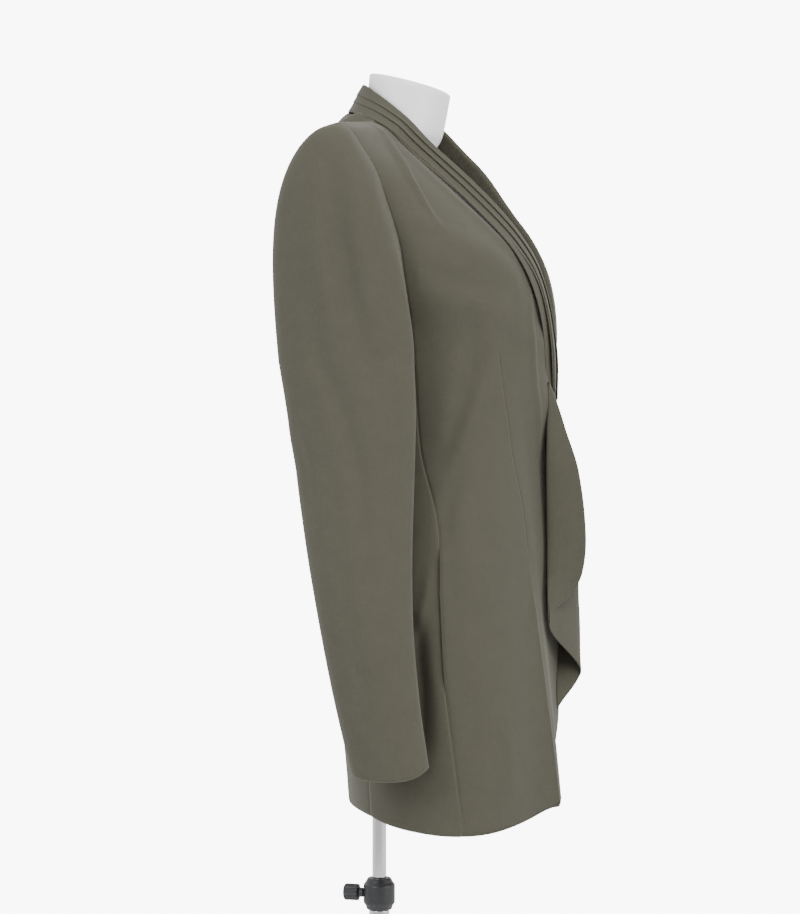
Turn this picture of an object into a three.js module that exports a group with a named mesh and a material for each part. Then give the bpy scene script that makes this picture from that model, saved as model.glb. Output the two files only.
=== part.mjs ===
// A woman's long blazer of olive grey-green wool, on a limbless dress form with a metal stand.
// Millimetres, +Z up. The pole stands on the Z axis with its base on Z = 0. The blazer faces -Y,
// and its wearer's right side is -X. Tables give "forward" from the pole's axis towards -Y,
// "across" from the middle of the body towards the side that is built, and "height" from the floor.
import * as THREE from 'three';

// Driving dimensions of the blazer
const HEM_HEIGHT = 714;
const CHEST_HEIGHT = 1195;
const NECK_SEAM_HEIGHT = 1432;
const SHOULDER_FALL = 0.145;
const NECK_POINT_ACROSS = 75;
const SHOULDER_SEAM_FORWARD = 14;
const CLOTH = 2;
const COLLAR_CLOTH = 1.6;
const SEAM_GAP = 0.3;

// Driving dimensions of the stand
const NECK_TOP_HEIGHT = 1480;
const NECK_TOP_SLOPE = 0.27;
const POLE_DIAMETER = 15;
const TUBE_DIAMETER = 22;
const CLAMP_HEIGHT = 627;
const CLAMP_DIAMETER = 34;
const CLAMP_LENGTH = 34;
const BASE_DIAMETER = 360;
const BASE_THICKNESS = 8;
const FORM_BOTTOM_HEIGHT = 800;

const RIGHT = -1;
const LEFT = 1;

const wool = new THREE.MeshStandardMaterial({ color: 0x6b695c, roughness: 0.9, metalness: 0 });
const woolShade = new THREE.MeshStandardMaterial({ color: 0x5c5a4c, roughness: 0.9, metalness: 0 });
const formWhite = new THREE.MeshStandardMaterial({ color: 0xf1f0ee, roughness: 0.45, metalness: 0 });
const chrome = new THREE.MeshStandardMaterial({ color: 0xc9c8c4, roughness: 0.15, metalness: 1 });
const blackPlastic = new THREE.MeshStandardMaterial({ color: 0x141414, roughness: 0.5, metalness: 0 });

// The jacket's section at each height, from the hem to the chest. A section is a superellipse about
// "widest": "wide" is its half width, "frontR", "frontL" and "back" its reach forward at the middle, and
// "squareR", "squareL" and "squareB" its exponents. "ridge" lifts the fold that drops from the right dart.
const BODY = [
  { height: 714, wide: 212, widest: 85, frontR: 201, squareR: 2.6, frontL: 182, squareL: 1.9, back: -23, squareB: 1.8, ridge: 20 },
  { height: 783, wide: 208, widest: 83, frontR: 199, squareR: 2.6, frontL: 181, squareL: 1.9, back: -29, squareB: 1.9, ridge: 14 },
  { height: 846, wide: 205, widest: 79, frontR: 196, squareR: 2.5, frontL: 183, squareL: 1.95, back: -37, squareB: 2.0, ridge: 9 },
  { height: 940, wide: 196, widest: 73, frontR: 189, squareR: 2.4, frontL: 181, squareL: 2.1, back: -45, squareB: 2.2, ridge: 3 },
  { height: 1018, wide: 178, widest: 65, frontR: 182, squareR: 2.8, frontL: 174, squareL: 2.3, back: -50, squareB: 2.3, ridge: 1 },
  { height: 1070, wide: 160, widest: 60, frontR: 178, squareR: 3, frontL: 167, squareL: 2.4, back: -50, squareB: 2.3, ridge: 0 },
  { height: 1100, wide: 155, widest: 57, frontR: 178, squareR: 2.9, frontL: 166, squareL: 2.4, back: -51, squareB: 2.4, ridge: 0 },
  { height: 1160, wide: 156, widest: 50, frontR: 185, squareR: 2.4, frontL: 176, squareL: 2.3, back: -58, squareB: 3.1, ridge: 0 },
  { height: 1195, wide: 158, widest: 45, frontR: 189, squareR: 2.2, frontL: 184, squareL: 2.2, back: -65, squareB: 3.6, ridge: 0 },
];

// From the chest over the bust to the shoulder seam: "rise" is the share of that height, "reach" the
// share of the chest's distance from the shoulder seam that is left, and "wide" the half width there.
const CHEST = [
  { rise: 0, reach: 1, wide: 158 },
  { rise: 0.1, reach: 1, wide: 168 },
  { rise: 0.2, reach: 0.985, wide: 178 },
  { rise: 0.31, reach: 0.945, wide: 185 },
  { rise: 0.41, reach: 0.88, wide: 189 },
  { rise: 0.5, reach: 0.785, wide: 192 },
  { rise: 0.63, reach: 0.61, wide: 196 },
  { rise: 0.78, reach: 0.39, wide: 205 },
  { rise: 0.89, reach: 0.215, wide: 211 },
  { rise: 0.965, reach: 0.1, wide: 214 },
  { rise: 1, reach: 0, wide: 215 },
];
const BLADES = [
  { rise: 0, reach: 1, wide: 158 },
  { rise: 0.2, reach: 1.04, wide: 186 },
  { rise: 0.4, reach: 1.06, wide: 200 },
  { rise: 0.58, reach: 1.03, wide: 206 },
  { rise: 0.73, reach: 0.97, wide: 209 },
  { rise: 0.84, reach: 0.86, wide: 212 },
  { rise: 0.92, reach: 0.68, wide: 214 },
  { rise: 0.97, reach: 0.42, wide: 215 },
  { rise: 1, reach: 0, wide: 215 },
];

// Seams, in degrees round the section from the middle front, and the armhole's two edges by rise.
const SIDE_FRONT_SEAM = [
  { height: 714, turn: 75.6 }, { height: 846, turn: 78.6 }, { height: 940, turn: 78.7 },
  { height: 1018, turn: 77.2 }, { height: 1092, turn: 81 }, { height: 1195, turn: 79 },
];
const SIDE_BACK_SEAM = [
  { height: 714, turn: 104 }, { height: 940, turn: 106 }, { height: 1195, turn: 110 },
];
const ARMHOLE = [
  { rise: 0, front: 79, back: 110 }, { rise: 0.2, front: 79, back: 117 }, { rise: 0.37, front: 78.4, back: 121 },
  { rise: 0.63, front: 74.7, back: 122 }, { rise: 0.79, front: 68.7, back: 121 }, { rise: 1, front: 63, back: 116.5 },
];

// How far the hem lies above its lowest level, by the turn round the section.
const HEM = [
  { turn: 0, rise: 16 }, { turn: 35, rise: 14 }, { turn: 43, rise: 10 }, { turn: 50, rise: 4 }, { turn: 58, rise: 0 },
  { turn: 70, rise: -4 }, { turn: 82, rise: -3 }, { turn: 95, rise: 4 }, { turn: 106, rise: 10 },
  { turn: 125, rise: 11 }, { turn: 180, rise: 9 },
];

// The free inner edge of a front: under the collar, across the middle at the waist, cut away to the hem.
const FRONT_EDGE = [
  { height: 714, across: 87 }, { height: 717, across: 80 }, { height: 724, across: 74 }, { height: 736, across: 68 },
  { height: 749, across: 61 }, { height: 762, across: 50 }, { height: 773, across: 34 }, { height: 796, across: 15 },
  { height: 827, across: 4 }, { height: 866, across: -10 },
  { height: 980, across: -26 }, { height: 1060, across: -30 }, { height: 1110, across: -24 },
  { height: 1140, across: -14 }, { height: 1160, across: -2 }, { height: 1176, across: 9 },
  { height: 1196, across: 22 }, { height: 1221, across: 37 }, { height: 1247, across: 50 },
  { height: 1272, across: 59 }, { height: 1292, across: 65 }, { height: 1313, across: 68 },
  { height: 1344, across: 70 }, { height: 1382, across: 71 }, { height: 1412, across: 74 }, { height: 1432, across: 75 },
];

// The collar's band from the middle of the back to the closure: its roll edge and its outer edge.
// Where "onFront" is 1 the outer edge takes its forward place from the front that it lies on.
const COLLAR = [
  { rollX: 0, rollF: -13, rollH: 1477, outX: 0, outF: -28, outH: 1447, onFront: 0 },
  { rollX: 27, rollF: -7, rollH: 1474.5, outX: 34, outF: -20, outH: 1445, onFront: 0 },
  { rollX: 46, rollF: 7, rollH: 1463, outX: 62, outF: -4, outH: 1438, onFront: 0 },
  { rollX: 57, rollF: 28, rollH: 1447, outX: 79, outF: 20, outH: 1427, onFront: 0 },
  { rollX: 61, rollF: 49, rollH: 1429, outX: 85, outF: 44, outH: 1410, onFront: 1 },
  { rollX: 61, rollF: 73, rollH: 1403, outX: 86, outF: 75, outH: 1383, onFront: 1 },
  { rollX: 55, rollF: 110, rollH: 1368, outX: 85, outF: 117, outH: 1345, onFront: 1 },
  { rollX: 48, rollF: 141, rollH: 1334, outX: 82, outF: 148, outH: 1314, onFront: 1 },
  { rollX: 40, rollF: 161, rollH: 1306, outX: 76, outF: 170, outH: 1288, onFront: 1 },
  { rollX: 32, rollF: 174, rollH: 1281, outX: 67, outF: 181, outH: 1262, onFront: 1 },
  { rollX: 23, rollF: 183, rollH: 1250, outX: 57, outF: 186, outH: 1232, onFront: 1 },
  { rollX: 13, rollF: 188, rollH: 1216, outX: 46, outF: 189, outH: 1204, onFront: 1 },
  { rollX: 3, rollF: 190, rollH: 1182, outX: 37, outF: 190.5, outH: 1179, onFront: 1 },
  { rollX: -9, rollF: 187.5, rollH: 1142, outX: 28, outF: 189, outH: 1160, onFront: 1 },
];

// How wide each layer of the collar is, as a share of the widest, from the middle of the back to the closure.
const TIER_WIDTHS = [
  { first: 0.37, second: 0.63, third: 1 }, { first: 0.3, second: 0.6, third: 1 }, { first: 0.22, second: 0.54, third: 1 },
  { first: 0.22, second: 0.52, third: 1 }, { first: 0.22, second: 0.5, third: 1 },
];
const COLLAR_TIERS = ['first', 'second', 'third'];
const TIER_PITCH = COLLAR_CLOTH + 0.5;
const LEFT_CROSSING = 13;
const LEFT_SINK = 7;
const LEFT_COLLAR_END = 0.925;
const COLLAR_LIFT = 1.6;

// The right sleeve's rings below the armhole: centre, half width across and half depth forward.
const SLEEVE = [
  { height: 1176, across: 201, forward: 18, wide: 37, deep: 69 },
  { height: 1116, across: 205, forward: 25, wide: 37, deep: 64.5 },
  { height: 1050, across: 212, forward: 31, wide: 36, deep: 58.5 },
  { height: 980, across: 226, forward: 39, wide: 34, deep: 52 },
  { height: 910, across: 237, forward: 49, wide: 33, deep: 46 },
  { height: 845, across: 242, forward: 60, wide: 32, deep: 42 },
  { height: 776, across: 245, forward: 74, wide: 30, deep: 38 },
];
const CUFF_DIP = 5;
const UNDERARM_DIP = 0.03;
const SLEEVE_START_GAPS = 4;
const ARMHOLE_EASE = 2.5;
const CAP_BACK_FULLNESS = 0.45;
const CAP_BACK_DROP = 9;
const SLEEVE_FRONT_SEAM = 125;
const SLEEVE_BACK_SEAM = 235;

// The cascade that falls from the closure: the plan of its four fold lines at each height.
const CASCADE = [
  { height: 1157, aX: 22, aF: 199, bX: 31, bF: 190, cX: 4, cF: 197.5, dX: -11, dF: 190.5 },
  { height: 1110, aX: 24, aF: 212, bX: 41, bF: 189, cX: 0, cF: 206, dX: -22, dF: 187 },
  { height: 1066, aX: 25, aF: 221, bX: 52, bF: 187.5, cX: -3, cF: 211, dX: -28, dF: 183 },
  { height: 999, aX: 26, aF: 229, bX: 58, bF: 190, cX: -5, cF: 215, dX: -28, dF: 187 },
  { height: 960, aX: 28, aF: 226, bX: 60, bF: 192, cX: -4, cF: 215, dX: -27, dF: 190.5 },
  { height: 938, aX: 31, aF: 217, bX: 61, bF: 194, cX: -3, cF: 215, dX: -26, dF: 190.5 },
  { height: 904, aX: 42, aF: 205, bX: 62, bF: 196.5, cX: 0, cF: 217, dX: -23, dF: 190 },
  { height: 834, aX: 42, aF: 205, bX: 60, bF: 198, cX: 5, cF: 219, dX: -10, dF: 193 },
];
const CASCADE_EDGES = [
  { share: 0, top: 1151, hem: 938 }, { share: 1 / 3, top: 1157.6, hem: 904 },
  { share: 2 / 3, top: 1145.6, hem: 856 }, { share: 1, top: 1139.6, hem: 836 },
];

// The dress form's sections: half width, its widest place, its reach forward and back.
const FORM = [
  { height: 800, wide: 146, widest: 60, front: 128, back: -8 },
  { height: 830, wide: 170, widest: 58, front: 146, back: -19 },
  { height: 900, wide: 181, widest: 57, front: 156, back: -28 },
  { height: 960, wide: 176, widest: 56, front: 156, back: -32 },
  { height: 1030, wide: 154, widest: 52, front: 148, back: -35 },
  { height: 1095, wide: 134, widest: 48, front: 142, back: -35 },
  { height: 1150, wide: 139, widest: 44, front: 148, back: -43 },
  { height: 1210, wide: 145, widest: 38, front: 164, back: -50 },
  { height: 1270, wide: 152, widest: 30, front: 152, back: -53 },
  { height: 1325, wide: 158, widest: 20, front: 110, back: -50 },
  { height: 1365, wide: 154, widest: 14, front: 74, back: -42 },
  { height: 1393, wide: 130, widest: 14, front: 48, back: -29 },
  { height: 1411, wide: 92, widest: 17, front: 44, back: -19 },
  { height: 1424, wide: 64.2, widest: 26, front: 62, back: -15.8 },
  { height: 1440, wide: 50.5, widest: 30, front: 71, back: -12.4 },
  { height: 1470, wide: 46, widest: 34, front: 77, back: -8.7 },
];

// Smooth interpolation of one named column of a table, by another.
function read(table, by, column, at) {
  const last = table.length - 1;
  const rising = table[last][by] > table[0][by];
  let i = 0;
  while (i < last - 1 && (rising ? at > table[i + 1][by] : at < table[i + 1][by])) i += 1;
  const slope = (k) => {
    const a = table[Math.max(k - 1, 0)];
    const b = table[Math.min(k + 1, last)];
    return (b[column] - a[column]) / (b[by] - a[by]);
  };
  const here = table[i];
  const next = table[i + 1];
  const span = next[by] - here[by];
  const t = THREE.MathUtils.clamp((at - here[by]) / span, 0, 1);
  const t2 = t * t;
  const t3 = t2 * t;
  return here[column] * (2 * t3 - 3 * t2 + 1) + next[column] * (3 * t2 - 2 * t3)
    + slope(i) * span * (t3 - 2 * t2 + t) + slope(i + 1) * span * (t3 - t2);
}

// The same, with the rows taken as evenly spaced from 0 to 1.
function along(table, column, share) {
  const rows = table.map((row, k) => ({ at: k / (table.length - 1), value: row[column] }));
  return read(rows, 'at', 'value', share);
}

const mix = THREE.MathUtils.lerp;
const smooth = THREE.MathUtils.smoothstep;
const degrees = THREE.MathUtils.degToRad;

function place(side, across, forward, height) {
  return new THREE.Vector3(side * across, -forward, height);
}

function shoulderHeight(across) {
  return NECK_SEAM_HEIGHT - SHOULDER_FALL * Math.max(Math.abs(across) - 60, 0);
}

// The top line that the panels end on: the neck seam behind the neck, then the shoulder seam.
function topForward(across, isBack) {
  if (!isBack || across > NECK_POINT_ACROSS) return SHOULDER_SEAM_FORWARD - 4 * (across - 75) / 125;
  const share = Math.min(Math.abs(across) / 79, 0.95);
  return Math.min(31 - 58 * Math.sqrt(1 - share * share), SHOULDER_SEAM_FORWARD);
}

// Reach of a superellipse from its middle, turned by an angle from the front.
function reachAt(turn, wide, front, back, squareFront, squareBack) {
  const c = Math.cos(turn);
  const s = Math.sin(turn);
  const deep = c > 0 ? front : back;
  const power = c > 0 ? squareFront : squareBack;
  return (Math.abs(c / deep) ** power + Math.abs(s / wide) ** power) ** (-1 / power);
}

// The section of the jacket at one height: how far across and forward its cloth lies at a turn.
function section(side, turn, height) {
  const column = (name) => read(BODY, 'height', name, height);
  const widest = column('widest');
  const wide = column('wide');
  const isRight = side === RIGHT;
  const front = column(isRight ? 'frontR' : 'frontL') - widest;
  const square = column(isRight ? 'squareR' : 'squareL');
  const reach = reachAt(turn, wide, front, widest - column('back'), square, column('squareB'));
  const off = (turn - degrees(37.5)) / degrees(9);
  const ridge = isRight ? column('ridge') * Math.exp(-off * off) : 0;
  return { across: reach * Math.sin(turn), forward: widest + (reach + ridge) * Math.cos(turn), wide };
}

// The jacket's outer face. "level" runs from 0 at the hem to 1 at the chest and 2 at the shoulder.
function body(side, turn, level) {
  const isBack = Math.cos(turn) < 0;
  if (level <= 1) {
    const height = mix(HEM_HEIGHT, CHEST_HEIGHT, level);
    const at = section(side, turn, height);
    const forward = at.forward - (side === LEFT ? leftTuck(at.across, height) : 0);
    return place(side, at.across, forward, height + hemRise(turn) * (1 - level));
  }
  const profile = isBack ? BLADES : CHEST;
  const share = Math.min(level - 1, 1);
  const rise = along(profile, 'rise', share);
  const reach = along(profile, 'reach', share);
  const chest = section(side, turn, CHEST_HEIGHT);
  const across = chest.across * along(profile, 'wide', share) / chest.wide;
  const top = topForward(across, isBack);
  const height = mix(CHEST_HEIGHT, shoulderHeight(across), rise);
  const forward = top + (chest.forward - top) * reach - (side === LEFT ? leftTuck(across, height) : 0);
  return place(side, across, forward, height);
}

function hemRise(turn) {
  return read(HEM, 'turn', 'rise', THREE.MathUtils.radToDeg(Math.abs(turn)));
}

// The left front lies deeper than the right, most of all where the right front passes over it.
function leftTuck(across, height) {
  const inset = Math.abs(across);
  const crossing = smooth(height, 950, 1100) * (1 - smooth(height, 1165, 1215)) * (1 - smooth(inset, 40, 110));
  const sink = smooth(height, 1060, 1130) * (1 - smooth(height, 1350, 1420)) * (1 - smooth(inset, 95, 160));
  return LEFT_CROSSING * crossing + LEFT_SINK * sink;
}

// The turn at which a section is this far across, on the front.
function turnAt(side, across, height) {
  const h = Math.min(height, CHEST_HEIGHT);
  const wide = height > CHEST_HEIGHT ? wideAbove(height) : read(BODY, 'height', 'wide', h);
  const widest = read(BODY, 'height', 'widest', h);
  const deep = read(BODY, 'height', side === RIGHT ? 'frontR' : 'frontL', h) - widest;
  const square = read(BODY, 'height', side === RIGHT ? 'squareR' : 'squareL', h);
  const share = Math.abs(across) / wide;
  const scale = read(BODY, 'height', 'wide', h) / wide;
  return Math.atan2(across * scale, deep * (1 - share ** square) ** (1 / square));
}

// How far forward the front's outer face lies at a place across and a height.
function frontForward(side, across, height) {
  const h = Math.min(height, CHEST_HEIGHT);
  const rise = THREE.MathUtils.clamp((height - CHEST_HEIGHT) / (shoulderHeight(across) - CHEST_HEIGHT), 0, 1);
  const wide = height > CHEST_HEIGHT ? read(CHEST, 'rise', 'wide', rise) : read(BODY, 'height', 'wide', h);
  const widest = read(BODY, 'height', 'widest', h);
  const deep = read(BODY, 'height', side === RIGHT ? 'frontR' : 'frontL', h) - widest;
  const square = read(BODY, 'height', side === RIGHT ? 'squareR' : 'squareL', h);
  const flat = widest + deep * (1 - (Math.abs(across) / wide) ** square) ** (1 / square);
  const top = topForward(across, false);
  return mix(top, flat, read(CHEST, 'rise', 'reach', rise));
}

function wideAbove(height) {
  const rise = (height - CHEST_HEIGHT) / (shoulderHeight(80) - CHEST_HEIGHT);
  return read(CHEST, 'rise', 'wide', Math.min(rise, 1));
}

// A wall of cloth: a grid of the outer face, and the same grid moved in by the thickness.
// The face's own slopes give the direction, so that two panels that meet share it at their seam.
// "crest" turns it upwards at the top edge, and "root" keeps it square to a line at the first edge.
function wall(name, material, face, uSteps, vSteps, { thickness = CLOTH, lift = 0, crest = false, root = null } = {}) {
  const STEP = 0.004;
  const corner = new THREE.Vector3();
  const outer = [];
  const inner = [];
  for (let j = 0; j <= vSteps; j += 1) {
    for (let i = 0; i <= uSteps; i += 1) {
      const u = i / uSteps;
      const v = j / vSteps;
      const point = face(u, v);
      const alongU = face(Math.min(u + STEP, 1), v).sub(face(Math.max(u - STEP, 0), v));
      const alongV = face(u, Math.min(v + STEP, 1)).sub(face(u, Math.max(v - STEP, 0)));
      const out = corner.crossVectors(alongU, alongV).normalize().clone();
      if (crest) out.lerp(new THREE.Vector3(0, 0, 1), smooth(v, 0.9, 1)).normalize();
      if (root) out.addScaledVector(root, -out.dot(root) * (1 - smooth(v, 0, 0.1))).normalize();
      outer.push(point.clone().addScaledVector(out, lift));
      inner.push(point.clone().addScaledVector(out, lift - thickness));
    }
  }
  const points = [...outer, ...inner];
  const columns = uSteps + 1;
  const at = (i, j, layer) => layer * outer.length + j * columns + i;
  const triangles = [];
  const quad = (a, b, c, d) => {
    const flatter = points[a].distanceTo(points[c]) <= points[b].distanceTo(points[d]);
    triangles.push(...(flatter ? [a, b, c, a, c, d] : [a, b, d, b, c, d]));
  };
  for (let j = 0; j < vSteps; j += 1) {
    for (let i = 0; i < uSteps; i += 1) {
      quad(at(i, j, 0), at(i + 1, j, 0), at(i + 1, j + 1, 0), at(i, j + 1, 0));
      quad(at(i, j, 1), at(i, j + 1, 1), at(i + 1, j + 1, 1), at(i + 1, j, 1));
    }
  }
  for (let i = 0; i < uSteps; i += 1) {
    quad(at(i + 1, 0, 0), at(i, 0, 0), at(i, 0, 1), at(i + 1, 0, 1));
    quad(at(i, vSteps, 0), at(i + 1, vSteps, 0), at(i + 1, vSteps, 1), at(i, vSteps, 1));
  }
  for (let j = 0; j < vSteps; j += 1) {
    quad(at(0, j, 0), at(0, j + 1, 0), at(0, j + 1, 1), at(0, j, 1));
    quad(at(uSteps, j + 1, 0), at(uSteps, j, 0), at(uSteps, j, 1), at(uSteps, j + 1, 1));
  }
  return closedMesh(name, material, points, triangles);
}

function closedMesh(name, material, points, triangles) {
  const geometry = new THREE.BufferGeometry().setFromPoints(points);
  geometry.setIndex(triangles);
  geometry.computeVertexNormals();
  const mesh = new THREE.Mesh(geometry, material);
  mesh.name = name;
  return mesh;
}

// A grid face is turned over for the side whose mirror would leave its wall inside out.
function facing(side, face) {
  return side === RIGHT ? (u, v) => face(1 - u, v) : face;
}

const HALF_GAP_TURN = degrees(0.06);
const sideFrontTurn = (height) => degrees(read(SIDE_FRONT_SEAM, 'height', 'turn', height));
const sideBackTurn = (height) => degrees(read(SIDE_BACK_SEAM, 'height', 'turn', height));
const sideWord = (side) => (side === RIGHT ? 'right' : 'left');

function levelHeight(level) {
  if (level <= 1) return mix(HEM_HEIGHT, CHEST_HEIGHT, level);
  return mix(CHEST_HEIGHT, shoulderHeight(80), along(CHEST, 'rise', level - 1));
}

// The front's and back's edge towards the side: the side seam, and the armhole above the chest.
function outerTurn(level, which) {
  if (level <= 1) {
    const height = levelHeight(level);
    return which === 'front' ? sideFrontTurn(height) : sideBackTurn(height);
  }
  const rise = along(which === 'front' ? CHEST : BLADES, 'rise', level - 1);
  return degrees(read(ARMHOLE, 'rise', which, rise));
}

function frontPanel(side) {
  const UNDER_COLLAR = 1.3;
  const face = (u, v) => {
    const level = 2 * v;
    const height = levelHeight(level);
    const inner = turnAt(side, read(FRONT_EDGE, 'height', 'across', height), height);
    const turn = mix(inner, outerTurn(level, 'front') - HALF_GAP_TURN, u);
    const point = body(side, turn, level);
    const tucked = (1 - smooth(u, 0, 0.16)) * smooth(height, 1130, 1180);
    return point.add(new THREE.Vector3(0, UNDER_COLLAR * tucked - SEAM_GAP * smooth(level, 1.8, 1.95), 0));
  };
  return wall(`front_${sideWord(side)}`, wool, facing(side, face), 12, 30, { crest: true });
}

function sidePanel(side) {
  const face = (u, v) => {
    const level = v * (1 - UNDERARM_DIP * Math.sin(Math.PI * u));
    const height = levelHeight(level);
    const turn = mix(sideFrontTurn(height) + HALF_GAP_TURN, sideBackTurn(height) - HALF_GAP_TURN, u);
    return body(side, turn, level);
  };
  return wall(`side_${sideWord(side)}`, wool, facing(side, face), 5, 15);
}

function backPanel(side) {
  const face = (u, v) => {
    const level = 2 * v;
    const middle = Math.PI - HALF_GAP_TURN * 1.4;
    const turn = mix(outerTurn(level, 'back') + HALF_GAP_TURN, middle, u);
    const point = body(side, turn, level);
    return point.add(new THREE.Vector3(0, SEAM_GAP * smooth(level, 1.8, 1.95), 0));
  };
  return wall(`back_${sideWord(side)}`, wool, facing(side, face), 8, 30, { crest: true });
}

// The armhole's loop, from the shoulder tip down the front, under the arm and up the back.
function armhole(side, share) {
  const FRONT_SHARE = 0.4;
  const UNDER_SHARE = 0.16;
  if (share < FRONT_SHARE) {
    const level = 2 - share / FRONT_SHARE;
    return body(side, outerTurn(level, 'front'), level);
  }
  if (share < FRONT_SHARE + UNDER_SHARE) {
    const t = (share - FRONT_SHARE) / UNDER_SHARE;
    const level = 1 - UNDERARM_DIP * Math.sin(Math.PI * t);
    const height = levelHeight(level);
    return body(side, mix(sideFrontTurn(height), sideBackTurn(height), t), level);
  }
  const level = 1 + (share - FRONT_SHARE - UNDER_SHARE) / (1 - FRONT_SHARE - UNDER_SHARE);
  return body(side, outerTurn(level, 'back'), level);
}

// A ring of the sleeve below the armhole; the turn runs from the outside round by the front.
function sleeveRing(side, turn, height) {
  const column = (name) => read(SLEEVE, 'height', name, height);
  const across = column('across') + column('wide') * Math.cos(turn);
  const forward = column('forward') + column('deep') * Math.sin(turn);
  const cuff = 1 - smooth(height, 776, 846);
  return place(side, across, forward, height - cuff * CUFF_DIP * Math.cos(turn));
}

// The sleeve's face: the cap is drawn over from the armhole, then the rings follow to the cuff.
function sleeveFace(side, turn, v) {
  const CAP_SHARE = 0.36;
  const share = ((turn / (2 * Math.PI)) % 1 + 1) % 1;
  if (v > CAP_SHARE) {
    const height = mix(SLEEVE[0].height, SLEEVE.at(-1).height, (v - CAP_SHARE) / (1 - CAP_SHARE));
    return sleeveRing(side, turn, height);
  }
  const start = armhole(side, share);
  const end = sleeveRing(side, turn, SLEEVE[0].height);
  const span = start.distanceTo(end);
  const upness = (1 + Math.cos(turn)) / 2;
  const backness = Math.max(-Math.sin(turn), 0);
  const out = new THREE.Vector3(side, CAP_BACK_FULLNESS * backness, mix(-0.05, 0.1, upness)).normalize();
  const peak = 4;
  const roundTip = peak * backness * upness;
  start.addScaledVector(out, SEAM_GAP * (SLEEVE_START_GAPS + ARMHOLE_EASE * roundTip));
  const startHandle = start.clone().addScaledVector(out, span * mix(0.3, 0.22, upness));
  const endHandle = end.clone().add(new THREE.Vector3(0, CAP_BACK_DROP * backness, span * mix(0.3, 0.66, upness)));
  return new THREE.CubicBezierCurve3(start, startHandle, endHandle, end).getPoint(v / CAP_SHARE);
}

function sleevePiece(side, word, fromTurn, toTurn, steps) {
  const gap = 0.25;
  const face = (u, v) => sleeveFace(side, degrees(mix(fromTurn + gap, toTurn - gap, u)), v);
  const flipped = (u, v) => face(side === RIGHT ? u : 1 - u, v);
  return wall(`${word}_${sideWord(side)}`, wool, flipped, steps, 20, { root: new THREE.Vector3(1, 0, 0) });
}

// The collar's band: s runs from the middle of the back to the closure, t from its roll to its edge.
function band(side, s, t) {
  const column = (name) => along(COLLAR, name, s);
  const across = mix(column('rollX'), column('outX'), t);
  const height = mix(column('rollH'), column('outH'), t);
  const laid = frontForward(side, column('outX'), column('outH')) + COLLAR_LIFT;
  const edge = mix(column('outF'), laid, smooth(column('onFront'), 0, 1));
  const crown = 2.5 * Math.sin(Math.PI * t) * smooth(s, 0.5, 0.75);
  const tuck = side === LEFT ? leftTuck(across, height) : 0;
  return place(side, across, mix(column('rollF'), edge, t) + crown - tuck, height);
}

function collarTier(side, tier) {
  const lift = (COLLAR_TIERS.length - 1 - tier) * TIER_PITCH + COLLAR_CLOTH;
  const end = side === LEFT ? LEFT_COLLAR_END : 1;
  const face = (u, v) => {
    const s = mix(0.002, end, u);
    return band(side, s, v * along(TIER_WIDTHS, COLLAR_TIERS[tier], s));
  };
  return wall(`collar_tier_${tier + 1}_${sideWord(side)}`, tier % 2 ? woolShade : wool,
    facing(side, face), 26, tier === 2 ? 3 : 2, { thickness: COLLAR_CLOTH, lift });
}

function collarStand(side) {
  const face = (u, v) => {
    const across = mix(0.2, 63, u);
    const foot = place(side, across, topForward(across, true), NECK_SEAM_HEIGHT + 1.2);
    const roll = band(side, mix(0.002, 0.21, u), 0);
    const inward = new THREE.Vector3(-side * 3 * u, -1.7 * (1 - u), -2.5);
    return foot.lerp(roll.add(inward), v);
  };
  return wall(`collar_stand_${sideWord(side)}`, woolShade, facing(side, face), 8, 3, { thickness: COLLAR_CLOTH });
}

function cascade() {
  const FOLDS = ['a', 'b', 'c', 'd'];
  const face = (u, v) => {
    const height = mix(read(CASCADE_EDGES, 'share', 'top', u), read(CASCADE_EDGES, 'share', 'hem', u), v);
    const rows = FOLDS.map((fold) => ({
      x: read(CASCADE, 'height', `${fold}X`, height),
      f: read(CASCADE, 'height', `${fold}F`, height),
    }));
    return place(RIGHT, along(rows, 'x', u), along(rows, 'f', u), height);
  };
  return wall('cascade', wool, face, 18, 16, { thickness: COLLAR_CLOTH });
}

// The strip of facing that shows in the open mouth of the pocket in the side-front seam.
function pocketFacing(side) {
  const BOTTOM = 846;
  const TOP = 998;
  const HALF_TURN = degrees(2.4);
  const face = (u, v) => {
    const height = mix(BOTTOM, TOP, v);
    const turn = sideFrontTurn(height) + mix(-HALF_TURN, HALF_TURN, u);
    return body(side, turn, (height - HEM_HEIGHT) / (CHEST_HEIGHT - HEM_HEIGHT));
  };
  return wall(`pocket_facing_${sideWord(side)}`, woolShade, facing(side, face), 2, 8, { thickness: 1, lift: -CLOTH - 1.3 });
}

// A closed solid through rings, with a flat fan over each end.
function loft(name, material, ring, rows, columns) {
  const points = [];
  for (let j = 0; j < rows; j += 1) {
    for (let i = 0; i < columns; i += 1) points.push(ring(2 * Math.PI * i / columns, j / (rows - 1)));
  }
  const middle = (j) => points.slice(j * columns, (j + 1) * columns)
    .reduce((sum, point) => sum.add(point), new THREE.Vector3()).divideScalar(columns);
  points.push(middle(0), middle(rows - 1));
  const at = (i, j) => j * columns + (i % columns);
  const triangles = [];
  for (let j = 0; j < rows - 1; j += 1) {
    for (let i = 0; i < columns; i += 1) {
      triangles.push(at(i, j), at(i + 1, j), at(i + 1, j + 1), at(i, j), at(i + 1, j + 1), at(i, j + 1));
    }
  }
  for (let i = 0; i < columns; i += 1) {
    triangles.push(rows * columns, at(i + 1, 0), at(i, 0));
    triangles.push(rows * columns + 1, at(i, rows - 1), at(i + 1, rows - 1));
  }
  return closedMesh(name, material, points, triangles);
}

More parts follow.
